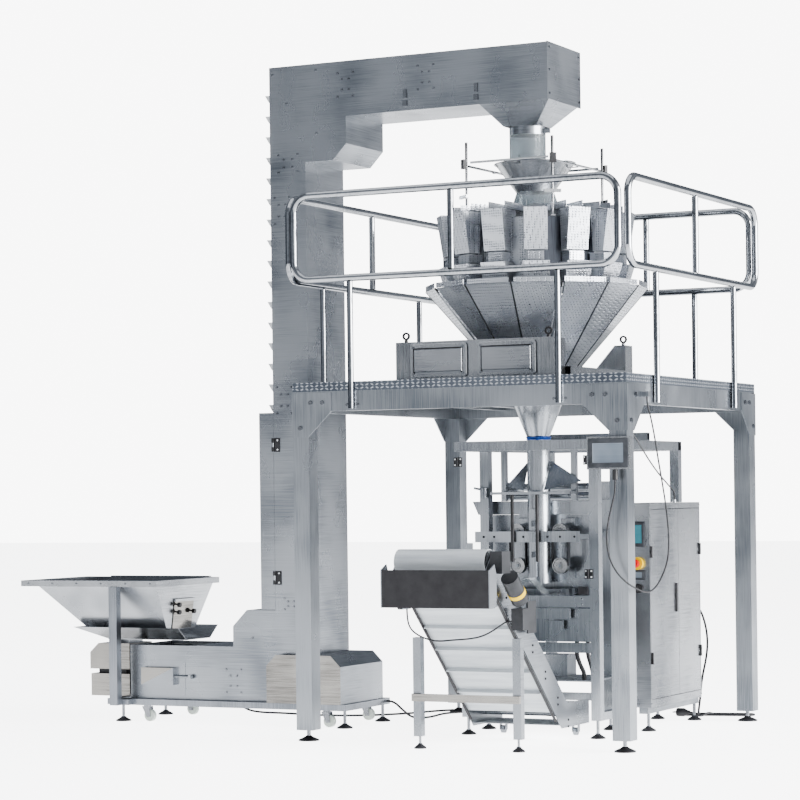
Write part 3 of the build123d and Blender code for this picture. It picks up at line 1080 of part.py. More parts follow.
# Black plastic guards: end apron at the head, edge strips, knob
GUARD_X = (-150, 430)
guard = [block((GUARD_X[0] + 12, GUARD_X[1] - 12), (-1455, -1450), (702, 880))]
guard.append(block((GUARD_X[0] + 12, GUARD_X[1] - 12), (-1450, -1395), (702, 706)))
for x in (GUARD_X[0] + 6, GUARD_X[1] - 12):
    guard.append(end_plate([(-1455, 702), (-1400, 702), (-1380, 740), (-1380, 860), (-1400, 905), (-1455, 880)], x, 6))
for x in ((BELT[0] - 3.5, BELT[0] + 12), (BELT[1] - 12, BELT[1] + 3.5)):
    first = foot_low + UP * 60 - OUT * 4
    last = foot_low + UP * (run_low - 120) - OUT * 4
    guard.append(strand(yz(first), yz(last), x, 3))
guard.append(turned((SIDE_X_LEFT[0], -1240, 700), [(0, 0), (6, 0), (6, -12), (17, -12), (17, -30), (0, -30)],
                    (1, 0, 0)))
guard.append(block((SIDE_X_LEFT[0] - 16, SIDE_X_LEFT[0]), (-1206, -1184), (690, 722)))
save("conveyor_guards", *guard)

# Fasteners: bolt heads and casing latches
bolts = []
for sx, sy in LEG_CORNERS:
    for inward, down in GUSSET_BOLTS:
        z = BEAM_TOP - 6 + down
        bolts.append(hex_head((sx * (HALF_X - inward), sy * (HALF_Y + GUSSET), z), (0, sy, 0), 24, 7))
        if (sx, sy, inward, down) != CABLE_CLIP:
            bolts.append(hex_head((sx * (HALF_X + GUSSET), sy * (HALF_Y - inward), z), (sx, 0, 0), 24, 7))


def cluster(x, z, dx, dz):
    """Eight bolt heads about a joint between two front plates."""
    places = [(a * dx, b * dz) for a in BOTH_SIDES for b in BOTH_SIDES]
    places += [(a * dx * 0.45, b * dz * 0.45) for a in BOTH_SIDES for b in BOTH_SIDES]
    return [(x + a, z + b) for a, b in places]


front_bolts = cluster(-1305, ELBOW_LOW, 58, 46) + cluster(-1345, 1745, 45, 70) + cluster(-1345, 2760, 45, 70)
front_bolts += cluster(HEAD_SIDE, 3405, 46, 62) + cluster(-480, 3405, 46, 62) + cluster(-1681, 235, 46, 62)
front_bolts += cluster(-1320, 655, 40, 30)
front_bolts += [(-1310, 3330), (-1130, 3160), (-1560, 470), (-1395, 3490), (-1130, 3495)]
for x, z in front_bolts:
    bolts.append(hex_head((x, -CASE_Y, z), (0, -1, 0), 13, 5))
    bolts.append(hex_head((x, CASE_Y, z), (0, 1, 0), 13, 5))
for y in (-195, 195):
    for z in (3270, 3390, 3505):
        bolts.append(hex_head((ARM_END + 4, y, z), (1, 0, 0), 13, 5))
for x in (-385, -107, -10, 271):
    bolts.append(hex_head((x, W_FRONT - 10, 1974), (0, -1, 0), 14, 6))
    bolts.append(hex_head((x, W_FRONT - 10, 1842), (0, -1, 0), 14, 6))
for x in (-600, -190):
    bolts.append(block((x - 12, x + 12), (-CASE_Y - 12, -CASE_Y - 2), (3262, 3292)))
    bolts.append(block((x - 9, x + 9), (-CASE_Y - 10, -CASE_Y), (3304, 3350)))
for x in (-560, 560):
    for y in (-HALF_Y - 8, HALF_Y + 8):
        side = -1 if y < 0 else 1
        bolts.append(hex_head((x - 30, side * HALF_Y, BEAM_LOW + 30), (0, side, 0), 16, 6))
        bolts.append(hex_head((x + 30, side * HALF_Y, BEAM_LOW + 30), (0, side, 0), 16, 6))
save("fasteners", *bolts)

# Air hoses inside the bagger, from the valve box down to the floor plate
hoses = []
for top_x, bend_x in ((372, 345), (420, 405)):
    hoses.append(cable([(top_x, -250, 596), (top_x - 8, -250, 540), (bend_x, -246, 478), (bend_x - 2, -240, 414),
                        (bend_x + 10, -232, 366), (top_x + 2, -222, 322), (top_x + 2, -222, 288)], 22))
save("air_hoses", *hoses)

# Free cables, each from a gland to a gland
MAINS_D = 12
SIGNAL_D = 8
FLOOR = MAINS_D / 2 + 0.5

PANEL_CABLE = [(858, -971, 1292), (858, -971, 1238), (842, -980, 1170), (826, -986, 1098), (817, -988, 1030),
               (822, -990, 962), (840, -988, 898), (872, -976, 842), (908, -948, 800), (938, -898, 772),
               (952, -836, 756), (954, -770, 760), (952, -704, 776), (950, -640, 806), (950, -578, 852),
               (950, -530, 908), (948, -510, 976), (948, -514, 1048), (948, -532, 1118), (950, -558, 1186),
               (950, -586, 1254), (950, -616, 1324), (950, -648, 1394), (950, -676, 1466), (948, -704, 1538),
               (944, -730, 1604), (936, -748, 1652), (936, -748, 1688)]
save("panel_cable", cable(PANEL_CABLE, SIGNAL_D))

SENSOR_CABLE = [(-136, -1195, 690), (-136, -1195, 652), (-146, -1158, 602), (-144, -1108, 566), (-100, -1080, 536),
                (-35, -1070, 522), (40, -1066, 530), (118, -1064, 535), (190, -1066, 546), (258, -1080, 574),
                (318, -1100, 608), (350, -1106, 626), (386, -1106, 626)]
save("sensor_cable", cable(SENSOR_CABLE, SIGNAL_D))

ELEVATOR_CABLE = [(-975, 232, 110), (-938, 232, 110), (-898, 250, 66), (-872, 306, 20), (-852, 374, 8),
                  (-838, 460, FLOOR), (-842, 556, FLOOR), (-860, 652, FLOOR), (-852, 750, FLOOR),
                  (-802, 832, FLOOR), (-716, 878, FLOOR), (-620, 884, FLOOR), (-522, 866, FLOOR),
                  (-444, 850, 8), (-394, 842, 26), (-356, 837, 66), (-326, 836, 104), (-287.4, 836, 108)]
save("elevator_cable", cable(ELEVATOR_CABLE, MAINS_D))

FEEDER_CABLE = [(-2000, 260, 110), (-2000, 298, 110), (-1986, 344, 66), (-1948, 392, 22), (-1880, 424, 8),
                (-1786, 438, FLOOR), (-1680, 424, FLOOR), (-1574, 398, FLOOR), (-1468, 384, FLOOR),
                (-1362, 394, FLOOR), (-1262, 434, FLOOR), (-1172, 500, FLOOR), (-1098, 584, FLOOR),
                (-1040, 678, FLOOR), (-1004, 780, FLOOR), (-960, 876, FLOOR), (-890, 954, FLOOR),
                (-796, 1000, FLOOR), (-692, 1014, FLOOR), (-588, 1010, FLOOR), (-486, 994, FLOOR),
                (-400, 976, 8), (-336, 954, 26), (-288, 926, 62), (-266, 904, 90), (-262, 885, 100),
                (-262, 860, 100)]
save("feeder_cable", cable(FEEDER_CABLE, MAINS_D))

DECK_CABLE = [(878, -835, 1530), (874, -796, 1526), (722, -120, 1352), (572, 545, 1240), (560, 594, 1231),
              (556, 610, 1215), (556, 610, 1189)]
save("deck_cable", cable(DECK_CABLE, SIGNAL_D))

# Mains lead: from the back of the cabinet to the floor, where it lies in a tied hank
MAINS_CABLE = [(565, 890.5, 600), (568, 936, 597), (580, 966, 548), (594, 978, 474), (598, 980, 396),
               (588, 978, 316), (568, 982, 240), (556, 984, 174), (551, 984, 118), (543, 990, 72),
               (532, 1004, 36), (524, 1026, 18), (516.4, 1050, 17)]
save("mains_cable", cable(MAINS_CABLE, MAINS_D))
HANK = (430, 112, 27)
HANK_CENTRE = (595, 1128)
with BuildPart() as hank:
    with BuildSketch():
        with Locations(HANK_CENTRE):
            SlotOverall(HANK[0], HANK[1], rotation=14)
            SlotOverall(HANK[0] - 70, HANK[1] - 70, rotation=14, mode=Mode.SUBTRACT)
    extrude(amount=HANK[2])
save("mains_hank", hank.part)
PLUG_END = (405, 1010, 24)
save("mains_plug", turned(PLUG_END, [(0, 0), (21, 0), (23, 6), (23, 40), (14, 58), (9, 76), (0, 76)], (1, 0, 0)),
     block((PLUG_END[0] - 22, PLUG_END[0] - 0.5), (PLUG_END[1] - 12, PLUG_END[1] - 8), (21, 27)),
     block((PLUG_END[0] - 22, PLUG_END[0] - 0.5), (PLUG_END[1] + 8, PLUG_END[1] + 12), (21, 27)))
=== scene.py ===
import json
import math

import bmesh
import bpy
from mathutils import Matrix, Vector


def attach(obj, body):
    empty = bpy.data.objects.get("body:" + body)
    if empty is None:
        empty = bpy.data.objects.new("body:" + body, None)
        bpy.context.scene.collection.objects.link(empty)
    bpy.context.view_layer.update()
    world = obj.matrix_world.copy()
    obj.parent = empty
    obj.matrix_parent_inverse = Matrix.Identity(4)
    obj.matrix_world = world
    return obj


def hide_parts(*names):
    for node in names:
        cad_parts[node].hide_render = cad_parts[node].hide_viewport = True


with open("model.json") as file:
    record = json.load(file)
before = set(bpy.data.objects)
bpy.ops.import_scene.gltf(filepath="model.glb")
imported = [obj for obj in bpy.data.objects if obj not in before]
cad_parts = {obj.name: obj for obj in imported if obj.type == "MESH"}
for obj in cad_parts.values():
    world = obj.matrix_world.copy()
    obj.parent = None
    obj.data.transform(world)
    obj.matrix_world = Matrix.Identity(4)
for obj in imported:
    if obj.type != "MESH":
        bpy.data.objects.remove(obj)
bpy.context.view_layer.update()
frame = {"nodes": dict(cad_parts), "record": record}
nodes = frame["nodes"]
PLATFORM = Vector((1.016, 0.248, 0.0))      # the origin of the platform's frame, in the row frame's metres


def at(x, y, z):
    """A point of the platform's frame, in millimetres, as a point of the row frame in metres."""
    return PLATFORM + Vector((x, y, z)) / 1000


# ---------------------------------------------------------------- materials

def link(tree, value, socket):
    tree.links.new(value, socket)


def shader(name, base, rough=0.5, metal=0.0, **more):
    """A node material with its constant values set straight on the shader."""
    mat = bpy.data.materials.new(name)
    mat.use_nodes = True
    tree = mat.node_tree
    bsdf = tree.nodes["Principled BSDF"]
    bsdf.inputs["Base Color"].default_value = (*base, 1)
    bsdf.inputs["Roughness"].default_value = rough
    bsdf.inputs["Metallic"].default_value = metal
    for key, value in more.items():
        bsdf.inputs[key.replace("_", " ")].default_value = value
    mat.diffuse_color = (*base, 1)
    return mat, tree, bsdf


def node(tree, kind, **values):
    """A new node, with its sockets or settings given by name."""
    made = tree.nodes.new(kind)
    for key, value in values.items():
        if key in made.inputs:
            made.inputs[key].default_value = value
        else:
            setattr(made, key, value)
    return made


def object_space(tree, scale=(1, 1, 1)):
    """The piece's own coordinates, stretched by scale."""
    coords = node(tree, "ShaderNodeTexCoord")
    mapping = node(tree, "ShaderNodeMapping")
    mapping.inputs["Scale"].default_value = scale
    link(tree, coords.outputs["Object"], mapping.inputs["Vector"])
    return mapping.outputs["Vector"]


def noise(tree, where, scale, detail=3.0, rough=0.55):
    """Noise between 0 and 1; its features are about 1/scale metres across."""
    made = node(tree, "ShaderNodeTexNoise", Scale=scale, Detail=detail, Roughness=rough)
    link(tree, where, made.inputs["Vector"])
    return made.outputs["Fac"]


def ramp(tree, value, stops):
    """Turns a value into colour; stops are (place, colour), from low to high."""
    made = node(tree, "ShaderNodeValToRGB")
    band = made.color_ramp
    band.elements[0].position, band.elements[0].color = stops[0][0], (*stops[0][1], 1)
    band.elements[1].position, band.elements[1].color = stops[-1][0], (*stops[-1][1], 1)
    for place, colour in stops[1:-1]:
        band.elements.new(place).color = (*colour, 1)
    link(tree, value, made.inputs["Fac"])
    return made.outputs["Color"]


def spread(tree, value, low, high, start=0.3, end=0.7):
    """Stretches a value from start..end onto low..high."""
    made = node(tree, "ShaderNodeMapRange")
    made.inputs["From Min"].default_value = start
    made.inputs["From Max"].default_value = end
    made.inputs["To Min"].default_value = low
    made.inputs["To Max"].default_value = high
    link(tree, value, made.inputs["Value"])
    return made.outputs["Result"]


def math_node(tree, operation, a, b=None):
    """A sum of one or two values, which are numbers or sockets."""
    made = node(tree, "ShaderNodeMath", operation=operation)
    for socket, value in zip(made.inputs, (a, b)):
        if isinstance(value, (int, float)):
            socket.default_value = value
        elif value is not None:
            link(tree, value, socket)
    return made.outputs["Value"]


def bump(tree, bsdf, height, strength, distance):
    """Raises the surface by the height, which spans distance metres."""
    made = node(tree, "ShaderNodeBump", Strength=strength, Distance=distance)
    link(tree, height, made.inputs["Height"])
    link(tree, made.outputs["Normal"], bsdf.inputs["Normal"])


# the steels' tones are listed as they look by daylight; the studio's bright walls need less
DARK_SHARE, LIGHT_SHARE = 0.46, 0.62
HIGHLIGHT = 1.12                            # brightest grain against the light tone


def steel(name, dark, light, rough, grain, metal=0.95, marks=0.12):
    """Brushed stainless: fine grain along one way, slow tone changes and faint handling marks."""
    dark, light = [c * DARK_SHARE for c in dark], [c * LIGHT_SHARE for c in light]
    mat, tree, bsdf = shader(name, light, rough[0], metal)
    slow = noise(tree, object_space(tree), 2.3, 2)
    lines = noise(tree, object_space(tree, grain), 1.0, 4, 0.6)
    smudge = noise(tree, object_space(tree, (5, 5, 3)), 1.0, 3, 0.5)
    tone = math_node(tree, "ADD", math_node(tree, "MULTIPLY", slow, 0.6),
                     math_node(tree, "MULTIPLY", lines, 0.4))
    link(tree, ramp(tree, tone, [(0.33, dark), (0.52, light), (0.7, [min(1, c * HIGHLIGHT) for c in light])]),
         bsdf.inputs["Base Color"])
    link(tree, spread(tree, smudge, rough[0], sum(rough) / 2, 0.3, 0.72), bsdf.inputs["Roughness"])
    bump(tree, bsdf, lines, marks, 0.0006)
    return mat


def plastic(name, dark, light, rough=(0.35, 0.5), grain_size=900, strength=0.12, **more):
    """Moulded or painted surface with a fine texture and slow wear."""
    mat, tree, bsdf = shader(name, light, rough[0], 0.0, **more)
    wear = noise(tree, object_space(tree), 14, 5, 0.65)
    fine = noise(tree, object_space(tree), grain_size, 2)
    link(tree, ramp(tree, wear, [(0.32, dark), (0.68, light)]), bsdf.inputs["Base Color"])
    link(tree, spread(tree, wear, rough[0], rough[1]), bsdf.inputs["Roughness"])
    bump(tree, bsdf, fine, strength, 0.0004)
    return mat


def facing(tree):
    """Flat coordinates on whichever way a face looks: (x, y) on top, (x, z) in front, (y, z) at the side."""
    coords = node(tree, "ShaderNodeTexCoord")
    split = node(tree, "ShaderNodeSeparateXYZ")
    link(tree, coords.outputs["Object"], split.inputs["Vector"])
    surface = node(tree, "ShaderNodeNewGeometry")
    normal = node(tree, "ShaderNodeSeparateXYZ")
    link(tree, surface.outputs["Normal"], normal.inputs["Vector"])

    def flat(first, second):
        pair = node(tree, "ShaderNodeCombineXYZ")
        link(tree, split.outputs[first], pair.inputs["X"])
        link(tree, split.outputs[second], pair.inputs["Y"])
        return pair.outputs["Vector"]

    chosen = flat("X", "Z")
    for axis, pair in (("X", flat("Y", "Z")), ("Z", flat("X", "Y"))):
        steep = math_node(tree, "GREATER_THAN", math_node(tree, "ABSOLUTE", normal.outputs[axis]), 0.6)
        choice = node(tree, "ShaderNodeMix", data_type="VECTOR")
        link(tree, steep, choice.inputs["Factor"])
        link(tree, chosen, choice.inputs[4])        # a vector mix has its A and B here
        link(tree, pair, choice.inputs[5])
        chosen = choice.outputs[1]
    return chosen


def checker_plate(name):
    """Tread plate: raised diagonal bars that alternate in direction, on brushed steel."""
    mat, tree, bsdf = shader(name, (0.5, 0.52, 0.55), 0.34, 0.9)
    heights = []
    faced = facing(tree)
    for turn, shift in ((45, 0.0), (-45, 0.5)):
        mapping = node(tree, "ShaderNodeMapping")
        mapping.inputs["Rotation"].default_value = (0, 0, math.radians(turn))
        mapping.inputs["Scale"].default_value = (25, 44, 25)
        mapping.inputs["Location"].default_value = (shift, shift, 0)
        link(tree, faced, mapping.inputs["Vector"])
        apart = node(tree, "ShaderNodeVectorMath", operation="FRACTION")
        link(tree, mapping.outputs["Vector"], apart.inputs[0])
        centred = node(tree, "ShaderNodeVectorMath", operation="SUBTRACT")
        link(tree, apart.outputs["Vector"], centred.inputs[0])
        centred.inputs[1].default_value = (0.5, 0.5, 0)
        squeezed = node(tree, "ShaderNodeVectorMath", operation="MULTIPLY")
        link(tree, centred.outputs["Vector"], squeezed.inputs[0])
        squeezed.inputs[1].default_value = (1.5, 2.8, 0)
        length = node(tree, "ShaderNodeVectorMath", operation="LENGTH")
        link(tree, squeezed.outputs["Vector"], length.inputs[0])
        heights.append(spread(tree, length.outputs["Value"], 1, 0, 0.3, 0.46))
    treads = math_node(tree, "MAXIMUM", heights[0], heights[1])
    tone = noise(tree, object_space(tree), 3, 3)
    mixed = node(tree, "ShaderNodeMix", data_type="RGBA", blend_type="MIX")
    link(tree, math_node(tree, "MULTIPLY", treads, 0.7), mixed.inputs["Factor"])
    link(tree, ramp(tree, tone, [(0.35, (0.1, 0.115, 0.14)), (0.65, (0.19, 0.21, 0.24))]), mixed.inputs["A"])
    mixed.inputs["B"].default_value = (0.72, 0.74, 0.78, 1)
    link(tree, mixed.outputs["Result"], bsdf.inputs["Base Color"])
    bump(tree, bsdf, treads, 0.7, 0.002)
    return mat


def dimpled(name):
    """Embossed weigher sheet: a close hexagonal field of small round dimples, with painted shade darkening
    their hollows.
    """
    mat, tree, bsdf = shader(name, (0.62, 0.64, 0.66), 0.3, 0.85)
    cells = node(tree, "ShaderNodeTexVoronoi", feature="F1", Scale=80.0, Randomness=0.2)
    link(tree, object_space(tree), cells.inputs["Vector"])
    tone = noise(tree, object_space(tree), 5, 3)
    pit_depth_and_shade = spread(tree, cells.outputs["Distance"], 0, 1, 0.12, 0.42)
    mixed = node(tree, "ShaderNodeMix", data_type="RGBA", blend_type="MULTIPLY")
    mixed.inputs["Factor"].default_value = 0.85
    link(tree, ramp(tree, tone, [(0.35, (0.5, 0.52, 0.56)), (0.65, (0.64, 0.66, 0.69))]), mixed.inputs["A"])
    # painted shade: the dimples' hollows are darkened
    link(tree, ramp(tree, pit_depth_and_shade, [(0.0, (0.3, 0.32, 0.35)), (1.0, (1, 1, 1))]), mixed.inputs["B"])
    link(tree, mixed.outputs["Result"], bsdf.inputs["Base Color"])
    link(tree, spread(tree, tone, 0.22, 0.38), bsdf.inputs["Roughness"])
    bump(tree, bsdf, pit_depth_and_shade, 0.8, 0.002)
    return mat


def belt(name):
    """Grey-white moulded belt with faint cross ribs and scuffs."""
    mat, tree, bsdf = shader(name, (0.76, 0.77, 0.78), 0.5)
    scuff = noise(tree, object_space(tree, (3, 30, 40)), 1.0, 4, 0.6)
    weave = node(tree, "ShaderNodeTexWave", Scale=30.0, Distortion=0.3, bands_direction="Z")
    link(tree, object_space(tree), weave.inputs["Vector"])
    link(tree, ramp(tree, scuff, [(0.3, (0.5, 0.53, 0.56)), (0.62, (0.66, 0.69, 0.71))]),
         bsdf.inputs["Base Color"])
    link(tree, spread(tree, scuff, 0.42, 0.6), bsdf.inputs["Roughness"])
    bump(tree, bsdf, weave.outputs["Fac"], 0.12, 0.0006)
    return mat


def glow(name, colour, strength, trim):
    """A lit screen: a soft vertical change of colour and faint pixel rows."""
    mat, tree, bsdf = shader(name, colour, 0.12, 0.0, Coat_Weight=0.6)
    rows = noise(tree, object_space(tree, (1, 1, 700)), 1.0, 1)
    slow = noise(tree, object_space(tree), 6, 2)
    tone = math_node(tree, "ADD", math_node(tree, "MULTIPLY", rows, 0.25),
                     math_node(tree, "MULTIPLY", slow, 0.75))
    colours = ramp(tree, tone, [(0.35, trim), (0.65, colour)])
    link(tree, colours, bsdf.inputs["Base Color"])
    link(tree, colours, bsdf.inputs["Emission Color"])
    bsdf.inputs["Emission Strength"].default_value = strength
    return mat


def clear(name, tint, rough=0.06):
    """Acrylic: thin, slightly blue at the edges, with fine scratches."""
    mat, tree, bsdf = shader(name, tint, rough, 0.0, Transmission_Weight=0.92, IOR=1.2)
    scratches = noise(tree, object_space(tree, (30, 30, 600)), 1.0, 4)
    link(tree, spread(tree, scratches, rough, rough + 0.12), bsdf.inputs["Roughness"])
    link(tree, ramp(tree, noise(tree, object_space(tree), 6, 2),
                    [(0.3, tuple(c * 0.95 for c in tint)), (0.7, tint)]), bsdf.inputs["Base Color"])
    bump(tree, bsdf, scratches, 0.05, 0.0003)
    return mat


# dark tone, light tone, range of roughness, grain; then how metallic, and how deep the marks are
STEELS = {
    "frame_steel": ((0.36, 0.4, 0.45), (0.62, 0.65, 0.69), (0.26, 0.42), (300, 300, 5)),
    "rail_chrome": ((0.5, 0.53, 0.57), (0.72, 0.74, 0.77), (0.06, 0.13), (60, 60, 60), 1.0, 0.02),
    "bolt_steel": ((0.26, 0.27, 0.3), (0.5, 0.52, 0.55), (0.2, 0.32), (200, 200, 200), 1.0, 0.1),
    "case_steel": ((0.4, 0.44, 0.5), (0.66, 0.69, 0.73), (0.25, 0.4), (4, 4, 260)),
    "base_steel": ((0.36, 0.4, 0.45), (0.6, 0.63, 0.68), (0.26, 0.42), (260, 260, 4)),
    "hopper_steel": ((0.5, 0.53, 0.57), (0.78, 0.8, 0.83), (0.22, 0.36), (260, 4, 260)),
    "weigher_steel": ((0.5, 0.52, 0.56), (0.77, 0.79, 0.81), (0.2, 0.34), (200, 200, 6)),
    "bagger_steel": ((0.4, 0.44, 0.49), (0.68, 0.71, 0.75), (0.24, 0.38), (220, 220, 5)),
    "cabinet_steel": ((0.44, 0.47, 0.52), (0.74, 0.76, 0.79), (0.24, 0.38), (5, 5, 240)),
    "conveyor_steel": ((0.34, 0.37, 0.42), (0.6, 0.63, 0.67), (0.26, 0.4), (200, 5, 200)),
    "sprocket_steel": ((0.3, 0.31, 0.33), (0.6, 0.61, 0.63), (0.28, 0.42), (150, 150, 150)),
    "caster_steel": ((0.34, 0.36, 0.4), (0.64, 0.66, 0.7), (0.26, 0.4), (120, 120, 120)),
    "pulley_alu": ((0.5, 0.51, 0.53), (0.78, 0.79, 0.8), (0.24, 0.36), (160, 160, 160)),
    "roller": ((0.42, 0.44, 0.47), (0.7, 0.72, 0.74), (0.24, 0.36), (300, 8, 300)),
    # painted shade: a dark steel for the weigher's inner drum, standing for the shade between the buckets
    "painted_shade_steel": ((0.1, 0.11, 0.13), (0.24, 0.26, 0.3), (0.3, 0.45), (200, 200, 6)),
    # painted reflection: a steel tinted warm to stand for warm reflections on the stainless parts
    "warm_reflection_steel": ((0.27, 0.26, 0.245), (0.56, 0.54, 0.51), (0.14, 0.27), (5, 5, 200)),
}
# dark tone, light tone, range of roughness; then the size of the texture and how deep it is
PLASTICS = {
    "foot_black": ((0.012, 0.012, 0.014), (0.04, 0.04, 0.045)),
    "bucket_plastic": ((0.6, 0.62, 0.63), (0.78, 0.79, 0.8)),
    "drive_paint": ((0.018, 0.019, 0.022), (0.05, 0.052, 0.058), (0.35, 0.5), 500, 0.25),
    "panel_parts": ((0.5, 0.52, 0.55), (0.66, 0.68, 0.7), (0.3, 0.45)),
    "hinge_black": ((0.012, 0.012, 0.013), (0.045, 0.045, 0.05), (0.3, 0.5)),
    "guard_black": ((0.02, 0.019, 0.022), (0.034, 0.033, 0.037), (0.4, 0.5)),
    "hose_black": ((0.01, 0.01, 0.012), (0.035, 0.035, 0.04), (0.3, 0.45)),
    "cable_black": ((0.012, 0.012, 0.014), (0.04, 0.04, 0.045), (0.38, 0.55), 1400, 0.2),
    "wheel_nylon": ((0.6, 0.66, 0.6), (0.78, 0.83, 0.77), (0.4, 0.55), 300, 0.2),
    "stop_red": ((0.5, 0.012, 0.01), (0.68, 0.02, 0.015), (0.25, 0.36)),
    "knob_black": ((0.015, 0.015, 0.016), (0.045, 0.045, 0.048), (0.3, 0.42)),
    "seam_black": ((0.012, 0.013, 0.016), (0.03, 0.032, 0.036)),
    "stop_yellow": ((0.75, 0.5, 0.02), (0.9, 0.62, 0.03), (0.3, 0.42)),
    "tie_blue": ((0.012, 0.06, 0.3), (0.02, 0.1, 0.42), (0.35, 0.5)),
    "bezel_dark": ((0.03, 0.034, 0.04), (0.07, 0.075, 0.085), (0.3, 0.42)),
}
MATERIALS = {name: steel(name, *values) for name, values in STEELS.items()}
MATERIALS |= {name: plastic(name, *values) for name, values in PLASTICS.items()}
MATERIALS |= {
    "film": plastic("film", (0.82, 0.85, 0.87), (0.93, 0.95, 0.96), (0.16, 0.28), 200, 0.05, Coat_Weight=0.5),
    "checker_plate": checker_plate("checker_plate"),
    "dimple_steel": dimpled("dimple_steel"),
    "belt_white": belt("belt_white"),
    "clear_plastic": clear("clear_plastic", (0.9, 0.95, 0.97)),
    "screen_teal": glow("screen_teal", (0.06, 0.2, 0.24), 0.5, (0.03, 0.12, 0.15)),
    "screen_grey": glow("screen_grey", (0.2, 0.23, 0.27), 0.35, (0.13, 0.155, 0.185)),
}
for part in frame["record"]["subparts"]:
    mesh = nodes[part["node"]].data
    mesh.materials.clear()
    mesh.materials.append(MATERIALS[part["material_slot"]])

SLACK = 0.6                                 # mm by which a face may lie outside its box
ALL = (-3000, 3000)                         # mm, wider than the whole line


def paint(name, key, *boxes):
    """Gives the faces whose middles lie in these boxes another material.

    A box is low and high x, then y, then z, in the platform's millimetres.
    """
    mesh = nodes[name].data
    mesh.materials.append(MATERIALS[key])
    index = len(mesh.materials) - 1
    for face in mesh.polygons:
        middle = (face.center - PLATFORM) * 1000
        for low_x, high_x, low_y, high_y, low_z, high_z in boxes:
            if (low_x - SLACK <= middle.x <= high_x + SLACK and low_y - SLACK <= middle.y <= high_y + SLACK
                    and low_z - SLACK <= middle.z <= high_z + SLACK):
                face.material_index = index
                break


# threads of the levelling feet
paint("leveling_feet", "bolt_steel", (*ALL, *ALL, 24, 400))
# cabinet front: bezels of the screen and the display, plate under the stop button, collar of the selector;
# touch panel: its gland, housing and bracket
paint("operator_panel", "bezel_dark", (440, 575, 117, 125, 950, 1080), (462, 575, 118, 125, 780, 830))
paint("operator_panel", "stop_yellow", (502, 568, 103, 125, 831, 897))
paint("operator_panel", "knob_black", (514, 562, 115, 125, 711, 759), (845, 871, -984, -958, 1292, 1342))
paint("operator_panel", "weigher_steel", (722, 940, -990, -952, 1342, 1497), (800, 870, -952, -925, 1380, 1460))
# cabinet: door handles and hinge barrels, underside and lower edge
paint("cabinet_door_front", "hinge_black", (600, 608, 491, 509, 600, 750), (600, 612, 134, 146, 300, 960))
paint("cabinet_door_rear", "hinge_black", (600, 612, 850, 861, 300, 960), (600, 608, 541, 590, 600, 750))
paint("control_cabinet", "conveyor_steel", (330, 582, 125, 870, 90, 122))
paint("control_cabinet", "cabinet_steel", (582, 600, 125, 870, 122, 162))
# weigher: lifting eyes, inner drum painted dark as painted shade between the buckets, level sensors
paint("weigher_base", "hinge_black", (-500, 420, -560, 420, 2006, 2060))
paint("weigher_body", "painted_shade_steel", (-300, 380, -340, 340, 2290, 2625))
paint("infeed_funnel", "hinge_black", *[(x - 24, x + 24, y - 24, y + 24, 2899, 2948)
                                        for x, y in ((281, -326), (304, 308), (-202, 326), (-224, -308))])
# elevator and feeder: painted warm reflections on the low boxes, the covers and the gate's plate, and the gate
# with its black knobs
paint("elevator_casing", "warm_reflection_steel", (-1440, -993, -290, -214, 127, 385))
paint("bolted_covers", "warm_reflection_steel", (-1440, -993, -300, -214, 127, 385),
      (-2420, -2130, -300, -205, 200, 330))
paint("drive_units", "warm_reflection_steel", (-2668, -2408, -118, 118, 277, 421), (-2662, -2408, -118, 118, 127, 251))
paint("hopper_gate", "warm_reflection_steel", (-2141, -2116, -101, 101, 504, 672))
paint("hopper_gate", "hinge_black", (-2126, -2089, -100, -60, 582, 652), (-2126, -2089, 60, 100, 582, 652))
# bagger: front guide bars, straight runs of the film pull belts
paint("bagger_frame", "hinge_black", (-58, -40, -152, -134, 880, 1226), (81, 99, -152, -134, 880, 1226))
paint("bagger_panels", "seam_black", *[(x - 2, x + 2, -16, 12, 856, 1032) for x in (205, 115, -35, -125)])
# conveyor: painted warm reflection on the cross bar of the legs, and the side plates of the guard
paint("conveyor_frame", "warm_reflection_steel", (-170, 402, -1090, -1069.5, 232, 268))
paint("conveyor_guards", "conveyor_steel", (-144, -138, -1455, -1380, 702, 905),
      (418, 424, -1455, -1380, 702, 905))


# ---------------------------------------------------------------- camera, light and floor

# fitted to the platform's legs, deck and rails
CAMERA_PLACE = (6.4753, -12.1199, 1.2517)
CAMERA_TURN, CAMERA_ROLL = 26.7225, -0.706
LENS, SENSOR_WIDTH, SHIFT_UP = 116.947, 36, 0.1138

camera_data = bpy.data.cameras.new("camera")
camera_data.lens = LENS
camera_data.sensor_width = SENSOR_WIDTH
camera_data.shift_y = SHIFT_UP
camera_data.clip_end = 200
camera = bpy.data.objects.new("camera", camera_data)
camera.matrix_world = (Matrix.Translation(CAMERA_PLACE)
                       @ Matrix.Rotation(math.radians(CAMERA_TURN), 4, "Z")
                       @ Matrix.Rotation(math.radians(90), 4, "X")
                       @ Matrix.Rotation(math.radians(CAMERA_ROLL), 4, "Z"))
bpy.context.scene.collection.objects.link(camera)
bpy.context.scene.camera = camera
bpy.context.scene.view_settings.look = "AgX - Medium High Contrast"

